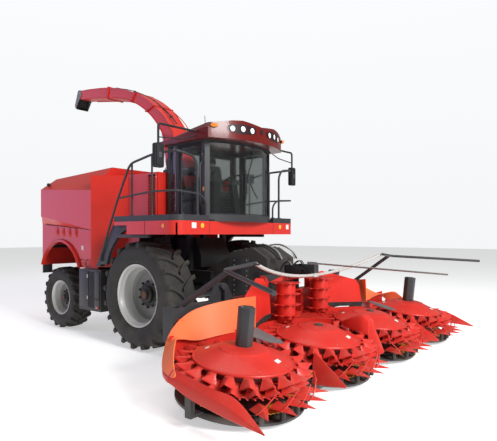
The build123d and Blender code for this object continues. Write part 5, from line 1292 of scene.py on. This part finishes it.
def driver_seat():
    """Sprung base, crowned cushion and back, and a headrest."""
    piece = Piece("seat_pads")
    y, z = SEAT_PLACE
    crown = sizes().cushion_crown / MM
    cushion(piece, (-245, y - 195, z + 400), (245, y + 190, z + 475), crown, 4)
    lean = shift(0, y + 130, z + 470) @ turn(83, "X")
    cushion(piece, (-235, 0, -55), (235, 500, 20), crown, 4, lean)
    cushion(piece, (-115, 525, -50), (115, 665, 10), 10, 3, lean)
    made = piece.done("machine", ("driver_seat",), sharp=60)
    base = Piece("seat_base")
    for k in range(7):
        base.slab((-150 + 6 * (k % 2), y - 110, z + 0.2 + 52 * k), (150 - 6 * (k % 2), y + 150,
                  z + 50 + 52 * k), "moulded_black", 14)
    base.slab((-200, y - 150, z + 362), (200, y + 170, z + 402), "cab_lining", 6)
    base.skin([[(u, y + 228 + v, z + 430) for u, v in ((-200, 0), (200, 0), (200, 40), (-200, 40))],
               [(u, y + 290 + v, z + 960) for u, v in ((-180, 0), (180, 0), (180, 24), (-180, 24))]],
              "cab_lining")
    for x in (-60, 60):
        base.tube([(x, y + 235, z + 900), (x, y + 262, z + 1040)], 8, "bare_steel")
    base.done("machine")


def handrails():
    """Bent tube rails along the sides and round the front corners of the platform."""
    piece = Piece("rails")
    for sign in (1, -1):
        for radius, bend, points in RAILS:
            piece.tube(points, radius or sizes().rail_radius / MM, "dark_enamel", mirrored(sign), sides=12,
                       bend=bend)
        for x, y in ((1500, 53), (1500, -441), (1065, -985), (872, -985)):
            piece.lathe([(0, 10), (34, 10), (36, 7), (36, 0), (0, 0)], "dark_enamel",
                        shift(sign * x, y, 2150.3), 20)
        piece.slab((1480, 900, 1390), (1520, 970, 1450), "dark_enamel", 4, mirrored(sign))
    piece.done("machine", ("handrails",))


def platform_trim():
    """Blank plates, amber discs, side lamps and seams of the painted band, and the tread bars."""
    piece = Piece("platform_trim")
    y = DECK_FACE
    for x, half in ((-1170, 48), (1290, 40)):
        piece.slab((x - half, y - 3, 1948), (x + half, y + 1, 2034), "blank_label", 6)
    for x in (-989, 1057):
        piece.lathe([(0, 4), (34, 4), (38, 1), (38, -2), (0, -2)], "amber_sticker",
                    shift(x, y, 1990) @ turn(90, "X"), 28)
    for sign in (1, -1):
        side = shift(sign * DECK_SIDE, -719, 1984) @ mirrored(sign) @ turn(90, "Y")
        piece.lathe([(0, 10), (22, 8), (30, 0), (30, -4), (0, -4)], "amber_lens", side, 24)
        piece.slab((sign * 836 - 3, y - 1.5, 1856), (sign * 836 + 3, y + 1, 2056), "seam_dark", 0)
        piece.slab((sign * (DECK_SIDE + 1.5) - 1.5, -300, 1856), (sign * (DECK_SIDE + 1.5), -294, 2056),
                   "seam_dark", 0)
        # ribbed tread strip on the cap's top
        bar = Piece("tread_bar")
        bar.slab((850, -1000, 2150), (856, -968, 2153), "dark_enamel", 0)
        piece.row(bar, 52, (12, 0, 0), "dark_enamel", mirrored(sign))
    piece.slab((-800, -1012, 2061), (800, -962, 2090), "moulded_black", 8)
    piece.done("machine")


class HARVESTER_OT_cab(bpy.types.Operator):
    """Builds the cab's lamps, wiper, mirrors, seat and rails, and the platform's trim"""
    bl_idname = "harvester.cab"
    bl_label = "Cab"

    def execute(self, context):
        roof_fittings()
        cab_fittings()
        driver_seat()
        handrails()
        platform_trim()
        return {"FINISHED"}


# Hood and boxes

ARCH_Y, ARCH_Z, ARCH_RADIUS = 2579.0, 985.0, 720.0
HOOD_SIDE = 1305.0
HOUSING_SIDE = 1010.2
BOX_SIDE = 1450
FENDER_SIDE = 1425


def hood_trim():
    """Arch lips, louvres, handles, labels, seams, grilles, screws and tail lamps of the hood."""
    piece = Piece("hood_trim")
    for sign in (1, -1):
        place = mirrored(sign)
        x = HOOD_SIDE
        rings = []
        start = math.asin((1232 - ARCH_Z) / ARCH_RADIUS)
        for k in range(33):
            a = start + (math.pi - 2 * start) * k / 32
            c, s = math.cos(a), math.sin(a)
            rings.append([(u, ARCH_Y + r * c, ARCH_Z + r * s) for u, r in (
                (x - 24, 719), (x + 46, 721), (x + 52, 727), (x + 50, 742), (x + 34, 770), (x + 1, 782),
                (x - 24, 782))])
        piece.skin(rings, "body_lacquer", place)
        dome = Piece("louvre")
        rows = []
        for share, out in ((-1.0, 1), (-0.8, 12), (-0.5, 22), (-0.2, 26), (0.2, 26), (0.5, 22), (0.8, 12),
                           (1.0, 1)):
            v = 2030 + 62 * share
            rows.append([(x + 0.3, v, 1792), (x + out * 0.8, v, 1812), (x + out * 1.15, v, 1850),
                         (x + out * 1.1, v, 1890), (x + out * 0.6, v, 1940), (x + 0.3, v, 1968)])
        dome.skin(rows, "body_lacquer")
        piece.row(dome, 4, (0, 226, 8), "body_lacquer", place)
        for y in (1817, 1616):
            piece.tube([(x + 2, y, 1256), (x + 46, y, 1264), (x + 46, y, 1380), (x + 2, y, 1388)], 7,
                       "black_enamel", place, sides=8, bend=26)
        piece.slab((x, 1770, 1560), (x + 2.5, 1832, 1640), "blank_label", 0, place)
        # pressed edge between the hood's side and the skirt
        piece.skin([[(x + 2, y, z - 9), (x + 20, y, z - 3), (x + 20, y, z + 2), (x + 2, y, z + 2)]
                    for y, z in ((1304, 1926), (3150, 2056))], "seam_dark", place)
        # grille on the narrow housing beside the cab, with a near black sheet behind its slats as painted
        # shade
        slat = Piece("grille_slat")
        slat.skin([[(1011, y, 2196), (1024, y, 2190), (1026, y, 2194), (1013, y, 2206)]
                   for y in (40, 235)], "body_lacquer")
        piece.row(slat, 26, (0, 0, 25), "body_lacquer", place)
        piece.boxes(((HOUSING_SIDE, 30, 2176, 1013, 245, 2862, "seam_dark", 0),
                     (HOUSING_SIDE, 24, 2168, 1030, 40, 2870, "body_lacquer", 3),
                     (HOUSING_SIDE, 236, 2168, 1030, 252, 2870, "body_lacquer", 3),
                     (HOUSING_SIDE, 24, 2168, 1030, 252, 2180, "body_lacquer", 3),
                     (HOUSING_SIDE, 24, 2862, 1030, 252, 2874, "body_lacquer", 3)), place)
        # fixing screws along the hood's joints
        screw = Piece("screw")
        screw.lathe([(0, 1.5), (7, 1.5), (9, 0), (9, -1.5), (0, -1.5)], "zinc_bolt",
                    shift(x + 2.5, 1420, 1890) @ turn(90, "Y"), 10)
        piece.row(screw, 8, (0, 215, 13.5), "zinc_bolt", place)
        # small lamp on the corner of the hood's tail
        piece.lathe([(0, 66), (24, 64), (36, 50), (38, 22), (14, 10), (14, -20), (0, -20)],
                    "moulded_black", shift(sign * 1325, 3010, 2822), 20)
    piece.done("machine", sharp=40)


def box_trim():
    """Doors, holes, latches and red lenses of the dark boxes, and the fenders with lip and rib."""
    piece = Piece("box_trim")
    for sign in (1, -1):
        place = mirrored(sign)
        x = BOX_SIDE
        piece.boxes(((x + 0.5, 1368, 560, x + 14, 1650, 1200, "dark_enamel", 6),
                     (x + 0.5, 1028, 540, x + 18, 1165, 1205, "dark_enamel", 6),
                     (x + 0.5, 1030, 700, x + 26, 1160, 730, "moulded_black", 4)), place)
        hole = Piece("box_hole")
        hole.prism(hexagon(0, 13), 10, "black_enamel", shift(x + 1, 1205, 560) @ turn(90, "Y"), 2)
        for dy in (0, 40, 80, 120):
            piece.row(hole, 16, (0, 0, 40), "black_enamel", place @ shift(0, dy, (dy // 40 % 2) * 18))
        piece.boxes(((x + 18, 1055, 552, x + 22, 1120, 590, "red_lens", 3),
                     (x + 13, 1372, 700, x + 22, 1400, 760, "zinc_bolt", 3),
                     (x + 13, 1372, 1080, x + 22, 1400, 1140, "zinc_bolt", 3)), place)
        # wide fender behind the tyre with its rolled lip and stiffening rib
        outline = [(508, 2058), (300, 2040), (180, 2000), (120, 1962), (190, 1950), (330, 1900),
                   (470, 1800), (600, 1668), (690, 1560), (745, 1430), (770, 1340), (948, 1340)]
        piece.prism(outline, 60, "dark_enamel", place @ shift(FENDER_SIDE, 0, 0) @ UPRIGHT, bevel=6)
        piece.slab((FENDER_SIDE, -330, 1800), (1486, 520, 1857), "dark_enamel", 6, place)
        piece.skin([[(1400, 498, 1928), (1482, 498, 1928), (1482, 510, 1940), (1400, 510, 1940)],
                    [(1400, 958, 1302), (1482, 958, 1302), (1482, 974, 1312), (1400, 974, 1312)]],
                   "moulded_black", place)
        rib = curve_through(((540, 1990), (610, 1905), (690, 1830), (790, 1700), (900, 1530), (985, 1400)),
                            4)
        piece.skin([[(1480, y - 16, z - 12), (1480, y + 16, z + 12), (1490, y + 8, z + 6),
                     (1490, y - 8, z - 6)] for y, z in rib], "dark_enamel", place)
    piece.done("machine")


# Spout

SPOUT_BACK = ((400, 3140), (440, 3560), (590, 3930), (930, 4250), (1380, 4560), (1870, 4790),
              (2350, 4940), (2860, 5050), (3750, 5170))
SPOUT_BELLY = ((690, 3140), (730, 3650), (900, 3930), (1170, 4200), (1540, 4450), (1970, 4640),
                (2420, 4750), (2860, 4830), (3750, 4975))
FLANGE_HEIGHT, FLANGE_THICK = 26, 8


def spout_half(y):
    """Half width of the spout at Y."""
    return 230 if y < 900 else 230 - 80 * (y - 900) / 2850


def spout_flanges():
    """Flanges, edge beads, hoses, the flap's ram, a small dome and the flap's lining."""
    piece = Piece("spout_flanges")
    back, belly = curve_through(SPOUT_BACK, 4), curve_through(SPOUT_BELLY, 4)
    for station in (5, 13, 18, 26):
        b, c = Vector(back[station]), Vector(belly[station])
        along = (Vector(back[station + 1]) - Vector(back[station - 1])).normalized()
        up = (b - c).normalized()
        h = spout_half(b.x)
        for middle in (-9, 9):
            rings = []
            for grow in (0.5, FLANGE_HEIGHT):
                ring = []
                for sx, end in ((-1, c), (1, c), (1, b), (-1, b)):
                    p = end + up * (grow if end is b else -grow) + along * middle
                    ring.append((sx * (h + grow), p.x, p.y))
                rings.append(ring)
            thick = [[(px, py + along.x * FLANGE_THICK, pz + along.y * FLANGE_THICK)
                      for px, py, pz in ring] for ring in rings]
            piece.skin([rings[0], rings[1], thick[1], thick[0]], "body_lacquer", looped=True)
    for sign in (1, -1):
        for path, lift in ((back, 1), (belly, -1)):
            rings = []
            for (y, z), (y2, z2) in zip(path[2:-1], path[3:]):
                ahead = Vector((y2 - y, z2 - z)).normalized()
                n = Vector((-ahead.y, ahead.x)) * lift
                h = sign * spout_half(y)
                rings.append([(h - sign * 14, y, z), (h + sign * 7, y - n.x * 12, z - n.y * 12),
                              (h + sign * 9, y + n.x * 6, z + n.y * 6),
                              (h - sign * 14, y + n.x * 9, z + n.y * 9)])
            piece.skin(rings, "body_lacquer")
    for x in (-52, -34):
        piece.tube([(x, y, z + 26) for y, z in back[8:31:2]], 8, "moulded_black", sides=8)
    for y, z in back[10:32:5]:
        piece.slab((-72, y - 12, z), (-14, y + 12, z + 40), "dark_enamel", 4)
    piece.tube([(30, 2860, 5098), (30, 3240, 5150)], 20, "dark_enamel", sides=16)
    piece.tube([(30, 3200, 5144), (30, 3560, 5168)], 9, "ram_chrome", sides=12)
    for y, low, high in ((2860, 5040, 5122), (3560, 5130, 5182)):
        piece.slab((6, y - 26, low), (54, y + 26, high), "dark_enamel", 6)
    piece.lathe([(0, 5262), (34, 5258), (40, 5236), (40, 5200), (0, 5200)], "lamp_housing",
                shift(90, 2600, -205), 20)
    piece.done("spout_arm", sharp=30)
    lip = Piece("flap_lining")
    rings = []
    for y, z in ((3762, 5184), (3834, 5174), (3958, 4866), (3930, 4792)):
        rings.append([(-150, y - 16, z - 14), (150, y - 16, z - 14), (150, y - 20, z - 20),
                      (-150, y - 20, z - 20)])
    lip.skin(rings, "moulded_black")
    for sign in (1, -1):
        lip.lathe([(0, 8), (16, 8), (20, 5), (20, 0), (0, 0)], "zinc_bolt",
                  shift(sign * 168, 3740, 5110) @ mirrored(sign) @ turn(90, "Y"), 16)
    lip.done("spout_flap")


class HARVESTER_OT_hood(bpy.types.Operator):
    """Builds the trim of the hood, the boxes and the spout"""
    bl_idname = "harvester.hood"
    bl_label = "Hood and spout"

    def execute(self, context):
        hood_trim()
        box_trim()
        spout_flanges()
        return {"FINISHED"}


# Studio

CAMERA_PLACE = (-6.252, -6.013, 1.857)
CAMERA_TURN = -49.005
CAMERA_PITCH = 89.9
CAMERA_LENS = 34.82
CAMERA_SHIFT = (0.0341, 0.0292)
FLOOR_HALF = 60.0
FLOOR_GLOW = 0.46
SKY = ((0.0, (0.86, 0.87, 0.88, 1)), (0.9, (0.95, 0.97, 1.0, 1)))     # place and colour of each stop
SKY_LIGHT, SKY_SEEN = 0.29, 1.06
LAMP_STANDS = (
    # name, place, aim, size, watts, colour
    ("key", (-2.5, -16.0, 9.5), (0.0, -1.0, 1.0), 6.0, 3400, (1.0, 1.0, 1.0)),
    ("sheen", (-9.0, 15.0, 5.0), (0.0, 1.5, 2.4), 9.0, 420, (0.62, 0.50, 1.0)),
    ("top", (0.0, 1.0, 13.0), (0.0, 0.0, 0.0), 9.0, 520, (1.0, 1.0, 1.0)),
)


class HARVESTER_OT_studio(bpy.types.Operator):
    """Makes the camera, the pale floor and the soft light"""
    bl_idname = "harvester.studio"
    bl_label = "Studio"

    def execute(self, context):
        scene = context.scene
        data = bpy.data.cameras.new("photo_camera")
        data.sensor_width, data.lens = 36.0, CAMERA_LENS
        data.shift_x, data.shift_y = CAMERA_SHIFT
        data.clip_end = 200.0
        camera = bpy.data.objects.new("photo_camera", data)
        camera.location = CAMERA_PLACE
        camera.rotation_euler = (math.radians(CAMERA_PITCH), 0.0, math.radians(CAMERA_TURN))
        scene.collection.objects.link(camera)
        scene.camera = camera
        scene.view_settings.view_transform = "Standard"
        scene.view_settings.look = "None"

        floor = bpy.data.materials.new("studio_floor")
        w = bare_nodes(floor)
        tone = w.mix(w.noise(0.6), (0.80, 0.80, 0.79, 1), (0.86, 0.86, 0.85, 1))
        surface = w.add("ShaderNodeBsdfPrincipled", {
            "Base Color": tone, "Roughness": 0.9, "Emission Color": (1, 1, 1, 1),
            "Emission Strength": FLOOR_GLOW})
        w.add("ShaderNodeOutputMaterial", {"Surface": surface.outputs[0]})
        mesh = bpy.data.meshes.new("floor")
        r = FLOOR_HALF
        mesh.from_pydata([(-r, -r, 0), (r, -r, 0), (r, r, 0), (-r, r, 0)], [], [(0, 1, 2, 3)])
        mesh.materials.append(floor)
        ground = bpy.data.objects.new("floor", mesh)
        scene.collection.objects.link(ground)

        world = bpy.data.worlds.new("studio_sky")
        scene.world = world
        w = bare_nodes(world)
        place = w.add("ShaderNodeTexCoord")
        up = w.add("ShaderNodeSeparateXYZ", {0: place.outputs["Generated"]})
        ramp = w.add("ShaderNodeValToRGB", {"Fac": up.outputs["Z"]})
        for stop, (position, tint) in zip(ramp.color_ramp.elements, SKY):
            stop.position = position
            stop.color = tint
        seen = w.add("ShaderNodeLightPath")
        strength = w.between(seen.outputs["Is Camera Ray"], SKY_LIGHT, SKY_SEEN)
        sky = w.add("ShaderNodeBackground", {"Color": ramp.outputs[0], "Strength": strength})
        w.add("ShaderNodeOutputWorld", {"Surface": sky.outputs[0]})

        for name, start, aim, size, watts, tint in LAMP_STANDS:
            data = bpy.data.lights.new(name, "AREA")
            data.color = tint
            data.shape, data.size, data.energy = "SQUARE", size, watts
            lamp = bpy.data.objects.new(name, data)
            lamp.location = start
            lamp.rotation_euler = (Vector(aim) - Vector(start)).to_track_quat("-Z", "Y").to_euler()
            scene.collection.objects.link(lamp)
        return {"FINISHED"}


class HARVESTER_PT_panel(bpy.types.Panel):
    """Lists the steps that dress the harvester"""
    bl_idname = "HARVESTER_PT_panel"
    bl_label = "Harvester"
    bl_space_type = "VIEW_3D"
    bl_region_type = "UI"
    bl_category = "Harvester"

    def draw(self, context):
        for group in (context.scene.harvester_colours, context.scene.harvester_sizes):
            for name in group.__annotations__:
                self.layout.prop(group, name)
        for step in STEPS:
            self.layout.operator(step.bl_idname)


STEPS = (HARVESTER_OT_paint, HARVESTER_OT_wheels, HARVESTER_OT_header, HARVESTER_OT_cab,
         HARVESTER_OT_hood, HARVESTER_OT_studio)


def register():
    register_groups()
    for kind in STEPS + (HARVESTER_PT_panel,):
        bpy.utils.register_class(kind)


def unregister():
    for kind in reversed(STEPS + (HARVESTER_PT_panel,)):
        bpy.utils.unregister_class(kind)
    del bpy.types.Scene.harvester_sizes
    del bpy.types.Scene.harvester_colours
    for kind in (MachineSizes, PaintColours):
        bpy.utils.unregister_class(kind)


def main():
    register()
    for step in STEPS:
        group, call = step.bl_idname.split(".")
        getattr(getattr(bpy.ops, group), call)()


if __name__ == "__main__":
    main()
